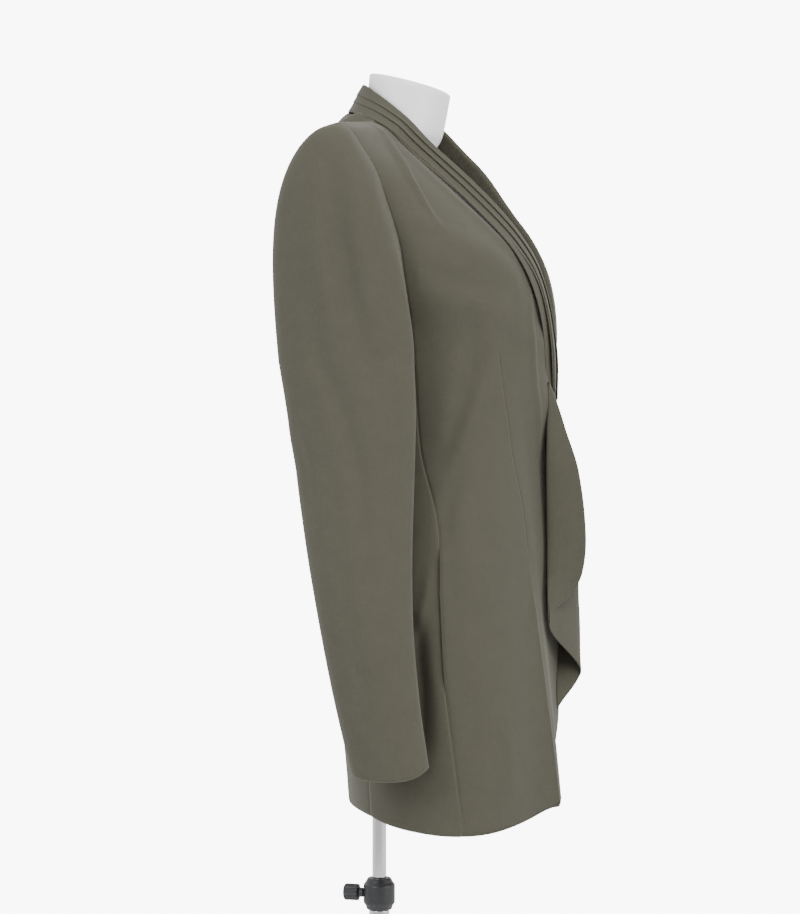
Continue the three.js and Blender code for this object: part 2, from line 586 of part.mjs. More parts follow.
// The smooth limbless form: hips, waist, chest and shoulders, then a neck cut off at a slope.
function dressForm() {
  const SQUARE = 2.15;
  const ring = (turn, v) => {
    const column = (name) => along(FORM, name, v);
    const widest = column('widest');
    const reach = reachAt(turn, column('wide'), column('front') - widest, widest - column('back'), SQUARE, SQUARE);
    const across = reach * Math.sin(turn);
    const forward = widest + reach * Math.cos(turn);
    const slope = smooth(column('height'), 1440, 1470) * NECK_TOP_SLOPE;
    const top = smooth(column('height'), 1440, 1470) * (NECK_TOP_HEIGHT - 1470);
    return place(LEFT, across, forward, column('height') + top - slope * (forward - widest));
  };
  return loft('dress_form', formWhite, ring, 28, 24);
}

function turned(name, material, radius, low, high, segments) {
  const profile = [
    new THREE.Vector2(0, low), new THREE.Vector2(radius, low), new THREE.Vector2(radius, high), new THREE.Vector2(0, high),
  ];
  const mesh = new THREE.Mesh(new THREE.LatheGeometry(profile, segments), material);
  mesh.rotation.x = Math.PI / 2;
  mesh.name = name;
  return mesh;
}

function clampKnob() {
  const mesh = turned('clamp_knob', blackPlastic, 9, CLAMP_DIAMETER / 2 + SEAM_GAP, CLAMP_DIAMETER / 2 + 22, 20);
  mesh.rotation.set(0, 0, Math.PI);
  mesh.position.z = CLAMP_HEIGHT - CLAMP_LENGTH / 2;
  return mesh;
}

const blazer = new THREE.Group();
for (const side of [RIGHT, LEFT]) {
  blazer.add(frontPanel(side), sidePanel(side), backPanel(side));
  blazer.add(sleevePiece(side, 'top_sleeve', SLEEVE_BACK_SEAM - 360, SLEEVE_FRONT_SEAM, 18));
  blazer.add(sleevePiece(side, 'under_sleeve', SLEEVE_FRONT_SEAM, SLEEVE_BACK_SEAM, 7));
  for (let tier = 0; tier < COLLAR_TIERS.length; tier += 1) blazer.add(collarTier(side, tier));
  blazer.add(collarStand(side), pocketFacing(side));
}
blazer.add(cascade(), dressForm());
blazer.add(turned('pole', chrome, POLE_DIAMETER / 2, CLAMP_HEIGHT + SEAM_GAP, FORM_BOTTOM_HEIGHT - SEAM_GAP, 24));
blazer.add(turned('clamp_collar', blackPlastic, CLAMP_DIAMETER / 2, CLAMP_HEIGHT - CLAMP_LENGTH, CLAMP_HEIGHT, 28));
blazer.add(clampKnob());
blazer.add(turned('lower_tube', chrome, TUBE_DIAMETER / 2, BASE_THICKNESS + SEAM_GAP,
  CLAMP_HEIGHT - CLAMP_LENGTH - SEAM_GAP, 24));
blazer.add(turned('base_plate', chrome, BASE_DIAMETER / 2, 0, BASE_THICKNESS, 48));

export default blazer;
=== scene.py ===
import bpy
import numpy as np
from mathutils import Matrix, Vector


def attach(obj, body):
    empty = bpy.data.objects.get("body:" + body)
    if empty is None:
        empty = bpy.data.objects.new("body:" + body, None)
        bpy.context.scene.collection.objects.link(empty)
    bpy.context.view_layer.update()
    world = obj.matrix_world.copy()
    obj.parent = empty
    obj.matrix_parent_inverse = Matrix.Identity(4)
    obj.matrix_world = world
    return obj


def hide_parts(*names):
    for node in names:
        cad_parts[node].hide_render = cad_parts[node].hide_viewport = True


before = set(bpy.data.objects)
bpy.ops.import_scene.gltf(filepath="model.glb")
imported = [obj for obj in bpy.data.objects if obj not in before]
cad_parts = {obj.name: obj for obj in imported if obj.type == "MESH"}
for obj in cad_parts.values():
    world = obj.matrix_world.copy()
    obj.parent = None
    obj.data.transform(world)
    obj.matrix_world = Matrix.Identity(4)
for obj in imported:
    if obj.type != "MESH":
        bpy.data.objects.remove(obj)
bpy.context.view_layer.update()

# The base plate: a round plate of steel, 360 mm across, chromed like the tube that is screwed into
# its middle. Its rim is turned to a soft radius so that it doesn't mark the floor.
MILLIMETRE = 0.001


def mesh_piece(name, points, faces, material, stands_for, slot_name, on_cloth=None):
    """A smooth mesh from an array of points in millimetres and an array of four corners a face. For cloth a
    second array holds four numbers a point: across and along the cloth in metres, which become its UV map,
    the distance from its edge in metres, and 1 on the inner face, which become two attributes."""
    mesh = bpy.data.meshes.new(name)
    mesh.vertices.add(len(points))
    mesh.vertices.foreach_set("co", (points * MILLIMETRE).astype(np.float32).ravel())
    mesh.loops.add(faces.size)
    mesh.loops.foreach_set("vertex_index", faces.astype(np.int32).ravel())
    mesh.polygons.add(len(faces))
    mesh.polygons.foreach_set("loop_start", np.arange(0, faces.size, 4, dtype=np.int32))
    mesh.update(calc_edges=True)
    if on_cloth is not None:
        layer = mesh.uv_layers.new(name="cloth")
        layer.data.foreach_set("uv", on_cloth[faces.ravel(), :2].astype(np.float32).ravel())
        for column, word in ((2, "from_edge"), (3, "inner_face")):
            values = mesh.attributes.new(word, "FLOAT", "POINT")
            values.data.foreach_set("value", on_cloth[:, column].astype(np.float32))
    mesh.validate()
    mesh.shade_smooth()
    mesh.materials.append(material)
    piece = bpy.data.objects.new(name, mesh)
    bpy.context.scene.collection.objects.link(piece)
    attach(piece, "root")
    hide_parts(*stands_for)
    return piece


def ring_faces(rings, around):
    """The faces between rings of points, one over the other. The last column meets the first."""
    row, column = np.meshgrid(np.arange(rings - 1), np.arange(around), indexing="ij")
    beside = (column + 1) % around
    faces = np.stack([row * around + column, row * around + beside,
                      (row + 1) * around + beside, (row + 1) * around + column], -1)
    return faces.reshape(-1, 4)


def turned(profile, around):
    """A lathe: each point (radius, height) of the profile is carried round a vertical axis, x = radius
    times sine and y = minus radius times cosine of the turn."""
    profile = np.array(profile, float)
    turn = np.linspace(0, 2 * np.pi, around, endpoint=False)
    radius, height = profile[:, 0, None], profile[:, 1, None]
    points = np.stack([radius * np.sin(turn), -radius * np.cos(turn),
                       np.broadcast_to(height, (len(profile), around))], -1)
    return points.reshape(-1, 3), ring_faces(len(profile), around)


def rounded(corners, radius, steps=5):
    """A profile whose inner corners are eased: each is replaced by points of a quadratic curve that
    starts and ends one radius from it and bends towards it."""
    corners = np.array(corners, float)
    eased = [corners[:1]]
    share = np.linspace(0, 1, steps + 1)[:, None]
    for before, corner, after in zip(corners, corners[1:], corners[2:]):
        start = corner + (before - corner) * min(radius / np.linalg.norm(before - corner), 0.5)
        end = corner + (after - corner) * min(radius / np.linalg.norm(after - corner), 0.5)
        eased.append((1 - share) ** 2 * start + 2 * share * (1 - share) * corner + share ** 2 * end)
    return np.vstack(eased + [corners[-1:]])


def surface_material(name, colour, roughness, metallic=0.0):
    """A material of one colour, with its node tree and its Principled shader."""
    material = bpy.data.materials.new(name)
    material.use_nodes = True
    tree = material.node_tree
    skin = tree.nodes["Principled BSDF"]
    skin.inputs["Base Color"].default_value = (*colour, 1)
    skin.inputs["Roughness"].default_value = roughness
    skin.inputs["Metallic"].default_value = metallic
    return material, tree, skin


def add(tree, kind, **settings):
    """A new node of the tree, with its inputs and properties set by name."""
    node = tree.nodes.new(kind)
    for name, value in settings.items():
        label = name.replace("_", " ").title()
        if label in node.inputs.keys():
            node.inputs[label].default_value = value
        else:
            setattr(node, name, value)
    return node


def shaded_by(tree, mask, low, high):
    """A ramp that turns a mask from 0 to 1 into a number between low and high."""
    spread = add(tree, "ShaderNodeMapRange", to_min=low, to_max=high)
    tree.links.new(mask, spread.inputs["Value"])
    return spread.outputs["Result"]


def noise_at(tree, place, scale, detail, **settings):
    """The value of a noise texture at a place."""
    texture = add(tree, "ShaderNodeTexNoise", scale=scale, detail=detail, **settings)
    tree.links.new(place, texture.inputs["Vector"])
    return texture.outputs["Fac"]


def stretched(tree, place, scale):
    """The place, scaled by three numbers."""
    mapping = add(tree, "ShaderNodeMapping", scale=scale)
    tree.links.new(place, mapping.inputs["Vector"])
    return mapping.outputs["Vector"]


def pitted(tree, height, strength, distance):
    """The normal of a surface that a height roughens, as a Bump node gives it."""
    bump = add(tree, "ShaderNodeBump", strength=strength, distance=distance)
    tree.links.new(height, bump.inputs["Height"])
    return bump.outputs["Normal"]


chrome, tree, skin = surface_material("chromed_steel", (0.66, 0.65, 0.63), 0.16, 1.0)
place = add(tree, "ShaderNodeTexCoord").outputs["Object"]
smear = noise_at(tree, stretched(tree, place, (60, 60, 4)), 3.0, 3.0)
tree.links.new(shaded_by(tree, smear, 0.10, 0.24), skin.inputs["Roughness"])

BASE_RADIUS, BASE_THICKNESS, BASE_EASE = 180.0, 8.0, 2.4
FLOOR_EASE, AXIS = 0.05, 0.5
plate = rounded([(AXIS, FLOOR_EASE), (BASE_RADIUS, FLOOR_EASE), (BASE_RADIUS, BASE_THICKNESS),
                 (26, BASE_THICKNESS), (AXIS, BASE_THICKNESS)], BASE_EASE)
mesh_piece("plate", *turned(plate, 160), chrome, ["base_plate"], "pole_metal")

# The tubes: a thick tube stands in the base, and a thinner chromed pole slides in it, so that the form
# can be set at any height. Only the pole and the top of the clamp show in the photograph.
TUBE_RADIUS, POLE_RADIUS = 11.0, 7.5
TUBE_TOP, POLE_FOOT, POLE_TOP = 592.7, 627.3, 799.7
TUBE_FOOT, NUT_RADIUS, NUT_SHOULDER, NUT_TOP = 8.3, 17.0, 16.0, 20.0
tube = rounded([(AXIS, TUBE_FOOT), (NUT_RADIUS, TUBE_FOOT), (NUT_RADIUS, NUT_SHOULDER), (TUBE_RADIUS, NUT_TOP),
                (TUBE_RADIUS, TUBE_TOP), (AXIS, TUBE_TOP)], 1.0)
mesh_piece("outer_tube", *turned(tube, 64), chrome, ["lower_tube"], "pole_metal")
bar = rounded([(AXIS, POLE_FOOT), (POLE_RADIUS, POLE_FOOT), (POLE_RADIUS, POLE_TOP), (AXIS, POLE_TOP)], 0.5)
mesh_piece("inner_pole", *turned(bar, 64), chrome, ["pole"], "pole_metal")

# The clamp: a black moulded ring round the top of the thick tube, and a ribbed knob on a short neck.
# Turning the knob would press the pole.
clamp_black, tree, skin = surface_material("black_moulding", (0.012, 0.012, 0.013), 0.42)
grit = noise_at(tree, add(tree, "ShaderNodeTexCoord").outputs["Object"], 900.0, 2.0)
tree.links.new(shaded_by(tree, grit, 0.34, 0.52), skin.inputs["Roughness"])
tree.links.new(pitted(tree, grit, 0.15, 0.0002), skin.inputs["Normal"])
CLAMP_FOOT, CLAMP_TOP, CLAMP_RADIUS = 593.0, 627.0, 17.0
ring = rounded([(AXIS, CLAMP_FOOT), (13.5, CLAMP_FOOT), (15, 598), (CLAMP_RADIUS, 600), (CLAMP_RADIUS, 620),
                (15, 622), (12.5, CLAMP_TOP), (AXIS, CLAMP_TOP)], 1.6)
mesh_piece("clamp_ring", *turned(ring, 72), clamp_black, ["clamp_collar"], "clamp_plastic")
KNOB_START, KNOB_END, KNOB_RADIUS, KNOB_RIBS, RIB_DEPTH, KNOB_HEIGHT = 17.3, 39.0, 9.0, 18, 0.9, 610.0
knob = rounded([(0.3, KNOB_START), (5, KNOB_START), (5, 22), (KNOB_RADIUS, 23), (KNOB_RADIUS, 37.5), (7, KNOB_END),
                (0.3, KNOB_END)], 0.8)
lathed, faces = turned(knob, 108)
turn = np.arctan2(lathed[:, 0], -lathed[:, 1])
radius = np.hypot(lathed[:, 0], lathed[:, 1])
ribbed = np.clip((radius - 7.5) / 1.2, 0, 1) * RIB_DEPTH / 2 * (np.cos(KNOB_RIBS * turn) - 1)
lathed[:, :2] *= ((radius + ribbed) / radius)[:, None]
knob_points = np.stack([lathed[:, 0], lathed[:, 2], KNOB_HEIGHT - lathed[:, 1]], -1)
mesh_piece("knob", knob_points, faces[:, ::-1], clamp_black, ["clamp_knob"], "clamp_plastic")

# The dress form: a limbless torso of moulded plastic, painted satin white, with a neck that is cut off at
# a slope. The pole is screwed into its underside. Only the neck shows above the collar.
def table(columns, *rows):
    """Rows of numbers under named columns."""
    return dict(zip(columns.split(), np.array(rows, float).T))


def cubic(t, start, end, slope_at_start, slope_at_end):
    """The cubic curve from one value to the other, t from 0 to 1, with a slope given at each end."""
    return (start * (2 * t ** 3 - 3 * t ** 2 + 1) + end * (3 * t ** 2 - 2 * t ** 3)
            + slope_at_start * (t ** 3 - 2 * t ** 2 + t) + slope_at_end * (t ** 3 - t ** 2))


def read(rows, by, column, at):
    """A smooth curve through the table's rows: on each span it is the cubic whose slope at a row is that
    of the line through the row's two neighbours."""
    key, value = rows[by], rows[column]
    if key[0] > key[-1]:
        key, value = key[::-1], value[::-1]
    last = len(key) - 1
    low, high = np.maximum(np.arange(last + 1) - 1, 0), np.minimum(np.arange(last + 1) + 1, last)
    slope = (value[high] - value[low]) / (key[high] - key[low])
    at = np.asarray(at, float)
    i = np.clip(np.searchsorted(key, at, "right") - 1, 0, last - 1)
    span = key[i + 1] - key[i]
    return cubic(np.clip((at - key[i]) / span, 0, 1), value[i], value[i + 1], slope[i] * span, slope[i + 1] * span)


def along(rows, column, share):
    """The same curve, with the rows taken as evenly spaced from 0 to 1."""
    value = rows[column]
    return read({"at": np.linspace(0, 1, len(value)), column: value}, "at", column, share)


def smooth(value, low, high):
    """0 below low, 1 above high, and an even S between."""
    t = np.clip((np.asarray(value, float) - low) / (high - low), 0, 1)
    return t * t * (3 - 2 * t)


def plateau(value, start, full, past, end):
    """An even S up from start to full, 1 between, and an even S down from past to end."""
    return smooth(value, start, full) * (1 - smooth(value, past, end))


def mix(a, b, share):
    """A value that passes from a to b as the share goes from 0 to 1."""
    return a + (b - a) * share


def superellipse(turn, wide, front, back, square_front, square_back):
    """Reach from the middle of a section at a turn from its front: the sum of (cosine over depth) and
    (sine over width), each raised to the squareness, to the power of minus one over it."""
    cosine, sine = np.cos(turn), np.sin(turn)
    deep = np.where(cosine > 0, front, back)
    power = np.where(cosine > 0, square_front, square_back)
    return (np.abs(cosine / deep) ** power + np.abs(sine / wide) ** power) ** (-1 / power)


FORM = table("height wide widest front back",
             (800, 146, 60, 128, -8), (830, 170, 58, 146, -19), (900, 181, 57, 156, -28), (960, 176, 56, 156, -32),
             (1030, 154, 52, 148, -35), (1095, 134, 48, 142, -35), (1150, 139, 44, 148, -43),
             (1210, 145, 38, 164, -50), (1270, 152, 30, 152, -53), (1325, 158, 20, 110, -50),
             (1365, 154, 14, 74, -42), (1393, 130, 14, 48, -29), (1411, 92, 17, 51, -19),
             (1424, 64.2, 26, 65, -15.8), (1440, 50.5, 30, 71, -12.4), (1470, 46, 34, 77, -8.7))
NECK_TOP, NECK_SLOPE, FORM_SQUARE = 1480.0, 0.27, 2.15


def form_shell(rows, around):
    """Rings of superellipses up the torso, closed by rings that shrink to a point at both ends. The top
    rings lean with the slope of the neck's cut, and the rim of each end is eased."""
    cap = np.array([0.02, 0.3, 0.6, 0.85, 0.95, 0.985])
    level = np.concatenate([np.zeros(len(cap)), np.linspace(0, 1, rows), np.ones(len(cap))])[:, None]
    size = np.concatenate([cap, np.ones(rows), cap[::-1]])[:, None]
    turn = np.linspace(0, 2 * np.pi, around, endpoint=False)[None, :]
    column = {name: along(FORM, name, level) for name in ("height", "wide", "widest", "front", "back")}
    reach = size * superellipse(turn, column["wide"], column["front"] - column["widest"],
                                column["widest"] - column["back"], FORM_SQUARE, FORM_SQUARE)
    across, ahead = reach * np.sin(turn), column["widest"] + reach * np.cos(turn)
    neck = smooth(column["height"], 1440, 1470)
    rim = 1.6 * np.clip((size - 0.95) / 0.05, 0, 1) ** 2
    height = column["height"] + neck * (NECK_TOP - 1470) - neck * NECK_SLOPE * (ahead - column["widest"])
    height = height + np.where(level > 0.5, -rim, rim)
    points = np.stack([across, -ahead, height], -1)
    return points.reshape(-1, 3), ring_faces(len(level), around)


def blended(tree, share, under, over):
    """A colour that passes from one to the other by a share from 0 to 1. Each is a colour or an output."""
    node = add(tree, "ShaderNodeMix", data_type="RGBA")
    tree.links.new(share, node.inputs["Factor"])
    for key, colour in (("A", under), ("B", over)):
        if isinstance(colour, tuple):
            node.inputs[key].default_value = (*colour, 1)
        else:
            tree.links.new(colour, node.inputs[key])
    return node.outputs["Result"]


form_white, tree, skin = surface_material("satin_white_shell", (0.86, 0.855, 0.85), 0.38)
place = add(tree, "ShaderNodeTexCoord").outputs["Object"]
mottle = noise_at(tree, place, 14.0, 4.0)
tree.links.new(shaded_by(tree, mottle, 0.32, 0.46), skin.inputs["Roughness"])
tinted = blended(tree, mottle, (0.84, 0.835, 0.825), (0.88, 0.875, 0.87))
tree.links.new(tinted, skin.inputs["Base Color"])
tree.links.new(pitted(tree, noise_at(tree, place, 420.0, 1.0), 0.08, 0.0004), skin.inputs["Normal"])
mesh_piece("torso", *form_shell(120, 112), form_white, ["dress_form"], "form_shell")

# The jacket's fronts, side panels and backs: olive grey-green wool, fused on the inside and lined, cut to
# follow the waist and sewn edge to edge, with the hem and the front edges turned under. Each front has one
# long dart from the bust, which falls below the waist as a sharp fold.
RIGHT, LEFT = -1, 1
WORDS = {RIGHT: "right", LEFT: "left"}
CLOTH, COLLAR_CLOTH, FACING_CLOTH = 2.0, 1.6, 1.0
HEM_HEIGHT, CHEST_HEIGHT, NECK_SEAM_HEIGHT = 714.0, 1195.0, 1432.0
SHOULDER_FALL, FALL_START, NECK_POINT, SHOULDER_SEAM = 0.145, 60.0, 75.0, 14.0
BODY = table("height wide widest front_right square_right front_left square_left back square_back ridge",
             (714, 212, 85, 201, 2.6, 182, 1.9, -23, 1.8, 20), (783, 208, 83, 199, 2.6, 181, 1.9, -29, 1.9, 14),
             (846, 205, 79, 196, 2.5, 183, 1.95, -37, 2.0, 9), (940, 196, 73, 189, 2.4, 181, 2.1, -45, 2.2, 3),
             (1018, 178, 65, 182, 2.8, 174, 2.3, -50, 2.3, 1), (1070, 160, 60, 178, 3, 167, 2.4, -50, 2.3, 0),
             (1100, 155, 57, 178, 2.9, 166, 2.4, -51, 2.4, 0), (1160, 156, 50, 185, 2.4, 176, 2.3, -58, 3.1, 0),
             (1195, 158, 45, 189, 2.2, 184, 2.2, -65, 3.6, 0))
CHEST = table("rise reach wide", (0, 1, 158), (0.1, 1, 168), (0.2, 0.985, 178), (0.31, 0.945, 185),
              (0.41, 0.88, 189), (0.5, 0.785, 192), (0.63, 0.61, 196), (0.78, 0.39, 205), (0.89, 0.215, 211),
              (0.965, 0.1, 214), (1, 0, 215))
BLADES = table("rise reach wide", (0, 1, 158), (0.2, 1.04, 186), (0.4, 1.06, 200), (0.58, 1.03, 206),
               (0.73, 0.97, 209), (0.84, 0.86, 212), (0.92, 0.68, 214), (0.97, 0.42, 215), (1, 0, 215))
SIDE_FRONT_SEAM = table("height turn", (714, 75.6), (846, 78.6), (940, 78.7), (1018, 77.2), (1092, 81), (1195, 79))
SIDE_BACK_SEAM = table("height turn", (714, 104), (940, 106), (1195, 110))
ARMHOLE = table("rise front back", (0, 79, 110), (0.2, 79, 117), (0.37, 78.4, 121), (0.63, 74.7, 122),
                (0.79, 68.7, 121), (1, 63, 116.5))
NECK_ARC_MIDDLE, NECK_ARC_WIDE, NECK_ARC_DEEP = 31.0, 79.0, 58.0
RIDGE_TURN, RIDGE_WIDTH = np.radians(37.5), np.radians(9)
HEM = table("turn rise", (0, 16), (35, 14), (43, 10), (50, 4), (58, 0), (70, -4), (82, -3), (95, 4), (106, 10),
            (125, 11), (180, 9))
FRONT_EDGE = table("height across", (714, 87), (717, 80), (724, 74), (736, 68), (749, 61), (762, 50), (773, 34),
                   (796, 15), (827, 4), (866, -10), (980, -26), (1060, -30), (1110, -24), (1140, -14), (1160, -2),
                   (1176, 9), (1196, 22), (1221, 37), (1247, 50), (1272, 59), (1292, 65), (1313, 68), (1344, 70),
                   (1382, 71), (1412, 74), (1432, 75))
PANEL_GAP, UNDERARM_DIP, LEVEL_ACROSS = np.radians(0.06), 0.03, 80.0


def at_side(side, across, ahead, height):
    """Points whose x is the distance across times the side, and whose y is minus the distance ahead."""
    across, ahead, height = np.broadcast_arrays(side * across, -ahead, height)
    return np.stack([across, ahead, height], -1).astype(float)


def shoulder_height(across):
    """The neck seam's height, less a fall for each millimetre beyond the neck."""
    return NECK_SEAM_HEIGHT - SHOULDER_FALL * np.maximum(np.abs(across) - FALL_START, 0)


def top_ahead(across, is_back):
    """Where the panels end at the top: the shoulder seam, or an arc round the back of the neck."""
    seam = SHOULDER_SEAM - 0.032 * (across - NECK_POINT)
    share = np.minimum(np.abs(across) / NECK_ARC_WIDE, 0.95)
    arc = np.minimum(NECK_ARC_MIDDLE - NECK_ARC_DEEP * np.sqrt(1 - share ** 2), SHOULDER_SEAM)
    return np.where(is_back & (across <= NECK_POINT), arc, seam)


CROSSING_TUCK, SUNK_TUCK = 1.5, 3.5


def left_tuck(across, height):
    """How far the left half lies back from the right one, so that its front passes behind the other, a little
    more where they cross at the waist. The back moves as far as the front, which leaves a step in its seam."""
    inset = np.abs(across)
    crossing = plateau(height, 950, 1100, 1165, 1215) * (1 - smooth(inset, 40, 110))
    sink = plateau(height, 1060, 1130, 1350, 1420) * (1 - smooth(inset, 95, 160))
    return CROSSING_TUCK * crossing + SUNK_TUCK * sink


def body_section(side, turn, height):
    """Across, ahead and half width of the jacket's superellipse at a turn from the front and a height; on
    the right, a bell-shaped ridge 9 degrees wide is added at the fold below the dart."""
    of = {name: read(BODY, "height", name, height) for name in BODY if name != "height"}
    word = WORDS[side]
    reach = superellipse(turn, of["wide"], of["front_" + word] - of["widest"], of["widest"] - of["back"],
                         of["square_" + word], of["square_back"])
    ridge = of["ridge"] * np.exp(-((turn - RIDGE_TURN) / RIDGE_WIDTH) ** 2) * (side == RIGHT)
    return reach * np.sin(turn), of["widest"] + (reach + ridge) * np.cos(turn), of["wide"]


def hem_rise(turn):
    """How far the hem curves up at a turn."""
    return read(HEM, "turn", "rise", np.degrees(np.abs(turn)))


def body_face(side, turn, level):
    """The jacket's outer face. Level 0 is the hem, 1 the chest and 2 the shoulder seam. Above the chest the
    chest's section is widened and drawn in towards the shoulder seam by two tables."""
    turn, level = np.broadcast_arrays(np.asarray(turn, float), np.asarray(level, float))
    below = np.clip(level, 0, 1)
    height = mix(HEM_HEIGHT, CHEST_HEIGHT, below)
    across, ahead, wide = body_section(side, turn, height)
    tuck = left_tuck(across, height) if side == LEFT else 0
    low = at_side(side, across, ahead - tuck, height + hem_rise(turn) * (1 - below))
    share = np.clip(level - 1, 0, 1)
    is_back = np.cos(turn) < 0
    of = {name: np.where(is_back, along(BLADES, name, share), along(CHEST, name, share))
          for name in ("rise", "reach", "wide")}
    chest_across, chest_ahead, chest_wide = body_section(side, turn, np.full(turn.shape, CHEST_HEIGHT))
    across = chest_across * of["wide"] / chest_wide
    top = top_ahead(across, is_back)
    height = mix(CHEST_HEIGHT, shoulder_height(across), of["rise"])
    tuck = left_tuck(across, height) if side == LEFT else 0
    high = at_side(side, across, top + (chest_ahead - top) * of["reach"] - tuck, height)
    return np.where((level <= 1)[..., None], low, high)


def wide_above(height):
    """Half width of the front's section above the chest."""
    rise = (height - CHEST_HEIGHT) / (shoulder_height(LEVEL_ACROSS) - CHEST_HEIGHT)
    return read(CHEST, "rise", "wide", np.minimum(rise, 1))


def front_section(side, height):
    """Half width, middle, depth and squareness of the front's section at a height, at most the chest's."""
    names = ("wide", "widest", "front_" + WORDS[side], "square_" + WORDS[side])
    wide, widest, front, square = (read(BODY, "height", name, np.minimum(height, CHEST_HEIGHT)) for name in names)
    return wide, widest, front - widest, square


def turn_at(side, across, height):
    """The turn at which the front's section is this far across."""
    wide_low, _, deep, square = front_section(side, height)
    wide = np.where(height > CHEST_HEIGHT, wide_above(height), wide_low)
    share = np.abs(across) / wide
    return np.arctan2(across * wide_low / wide, deep * (1 - share ** square) ** (1 / square))


def front_ahead(side, across, height):
    """How far ahead the front's face lies at a place across and a height."""
    wide_low, widest, deep, square = front_section(side, height)
    rise = np.clip((height - CHEST_HEIGHT) / (shoulder_height(across) - CHEST_HEIGHT), 0, 1)
    wide = np.where(height > CHEST_HEIGHT, read(CHEST, "rise", "wide", rise), wide_low)
    flat = widest + deep * (1 - (np.abs(across) / wide) ** square) ** (1 / square)
    return mix(top_ahead(across, False), flat, read(CHEST, "rise", "reach", rise))


def level_height(level):
    """The height of a level, taken 80 mm from the middle of the jacket."""
    above = mix(CHEST_HEIGHT, shoulder_height(LEVEL_ACROSS), along(CHEST, "rise", np.clip(level - 1, 0, 1)))
    return np.where(level <= 1, mix(HEM_HEIGHT, CHEST_HEIGHT, level), above)


def outer_turn(level, which):
    """The front's or the back's edge: the side seam, and the armhole above the chest."""
    seam = SIDE_FRONT_SEAM if which == "front" else SIDE_BACK_SEAM
    low = read(seam, "height", "turn", level_height(np.minimum(level, 1)))
    rise = along(CHEST if which == "front" else BLADES, "rise", np.clip(level - 1, 0, 1))
    return np.radians(np.where(level <= 1, low, read(ARMHOLE, "rise", which, rise)))


def unit(vectors):
    """The vectors, each made one long."""
    return vectors / np.maximum(np.linalg.norm(vectors, axis=-1, keepdims=True), 1e-9)


def outward(face):
    """The face's direction at each point of its grid: across-step times along-step, made one long."""
    return unit(np.cross(np.gradient(face, axis=1), np.gradient(face, axis=0)))


def cloth_shell(face, thickness, lean=None, rim=0.32, lined=True):
    """A sheet with two faces: the outer grid, the same grid moved in by the thickness, and round the edge a
    line of points at half depth, pushed out a little, so that the edge is round like a turned one. With them
    come the distances along the grid's rows and columns and from its edge, in metres, and the inner face."""
    normal = outward(face) if lean is None else lean
    rows, columns = face.shape[:2]
    inner = face - thickness * normal
    index = np.arange(rows * columns).reshape(rows, columns)
    loop = np.concatenate([index[0, :-1], index[:-1, -1], index[-1, :0:-1], index[:0:-1, 0]])
    flat, flat_inner = face.reshape(-1, 3), inner.reshape(-1, 3)
    step_across, step_along = unit(np.gradient(face, axis=1)), unit(np.gradient(face, axis=0))
    push = np.zeros_like(face)
    push[0] -= step_along[0]
    push[-1] += step_along[-1]
    push[:, 0] -= step_across[:, 0]
    push[:, -1] += step_across[:, -1]
    middle = (flat[loop] + flat_inner[loop]) / 2 + thickness * rim * unit(push).reshape(-1, 3)[loop]
    count, around = rows * columns, len(loop)
    points = np.concatenate([flat, flat_inner, middle])
    a, b = index[:-1, :-1].ravel(), index[:-1, 1:].ravel()
    c, d = index[1:, 1:].ravel(), index[1:, :-1].ravel()
    after = np.roll(loop, -1)
    edge = 2 * count + np.arange(around)
    edge_after = np.roll(edge, -1)
    faces = np.concatenate([np.stack([a, b, c, d], -1), count + np.stack([a, d, c, b], -1),
                            np.stack([after, loop, edge, edge_after], -1),
                            np.stack([edge_after, edge, count + loop, count + after], -1)])
    run_across = np.cumsum(np.linalg.norm(np.diff(face, axis=1, prepend=face[:, :1]), axis=-1), axis=1)
    run_along = np.cumsum(np.linalg.norm(np.diff(face, axis=0, prepend=face[:1]), axis=-1), axis=0)
    from_edge = np.minimum(np.minimum(run_along, run_along[-1] - run_along),
                           np.minimum(run_across - run_across[:, :1], run_across[:, -1:] - run_across))
    run_across = run_across - run_across[:, columns // 2:columns // 2 + 1]
    run_along = np.broadcast_to(run_along[:, columns // 2:columns // 2 + 1], run_across.shape)
    cloth = np.stack([run_across, run_along, from_edge], -1).reshape(-1, 3) * MILLIMETRE
    inside = np.concatenate([np.zeros(count), np.full(count, float(lined)), np.zeros(around)])
    return points, faces, np.column_stack([np.concatenate([cloth, cloth, cloth[loop]]), inside])


def gathered_at(share, before, after, grip=1.6):
    """Columns from 0 to 1 that crowd together at a share of the width, which may differ from row to row:
    each step away from it is a power of the step before."""
    share = np.asarray(share, float).reshape(-1, 1)
    left = share * (1 - (1 - np.linspace(0, 1, before + 1)[None, :]) ** grip)
    right = share + (1 - share) * np.linspace(0, 1, after + 1)[None, 1:] ** grip
    return np.concatenate([left, right], 1)


def facing_out(side, grid):
    """The grid of the right side is turned over, because mirroring it left it inside out."""
    return grid[:, ::-1] if side == RIGHT else grid


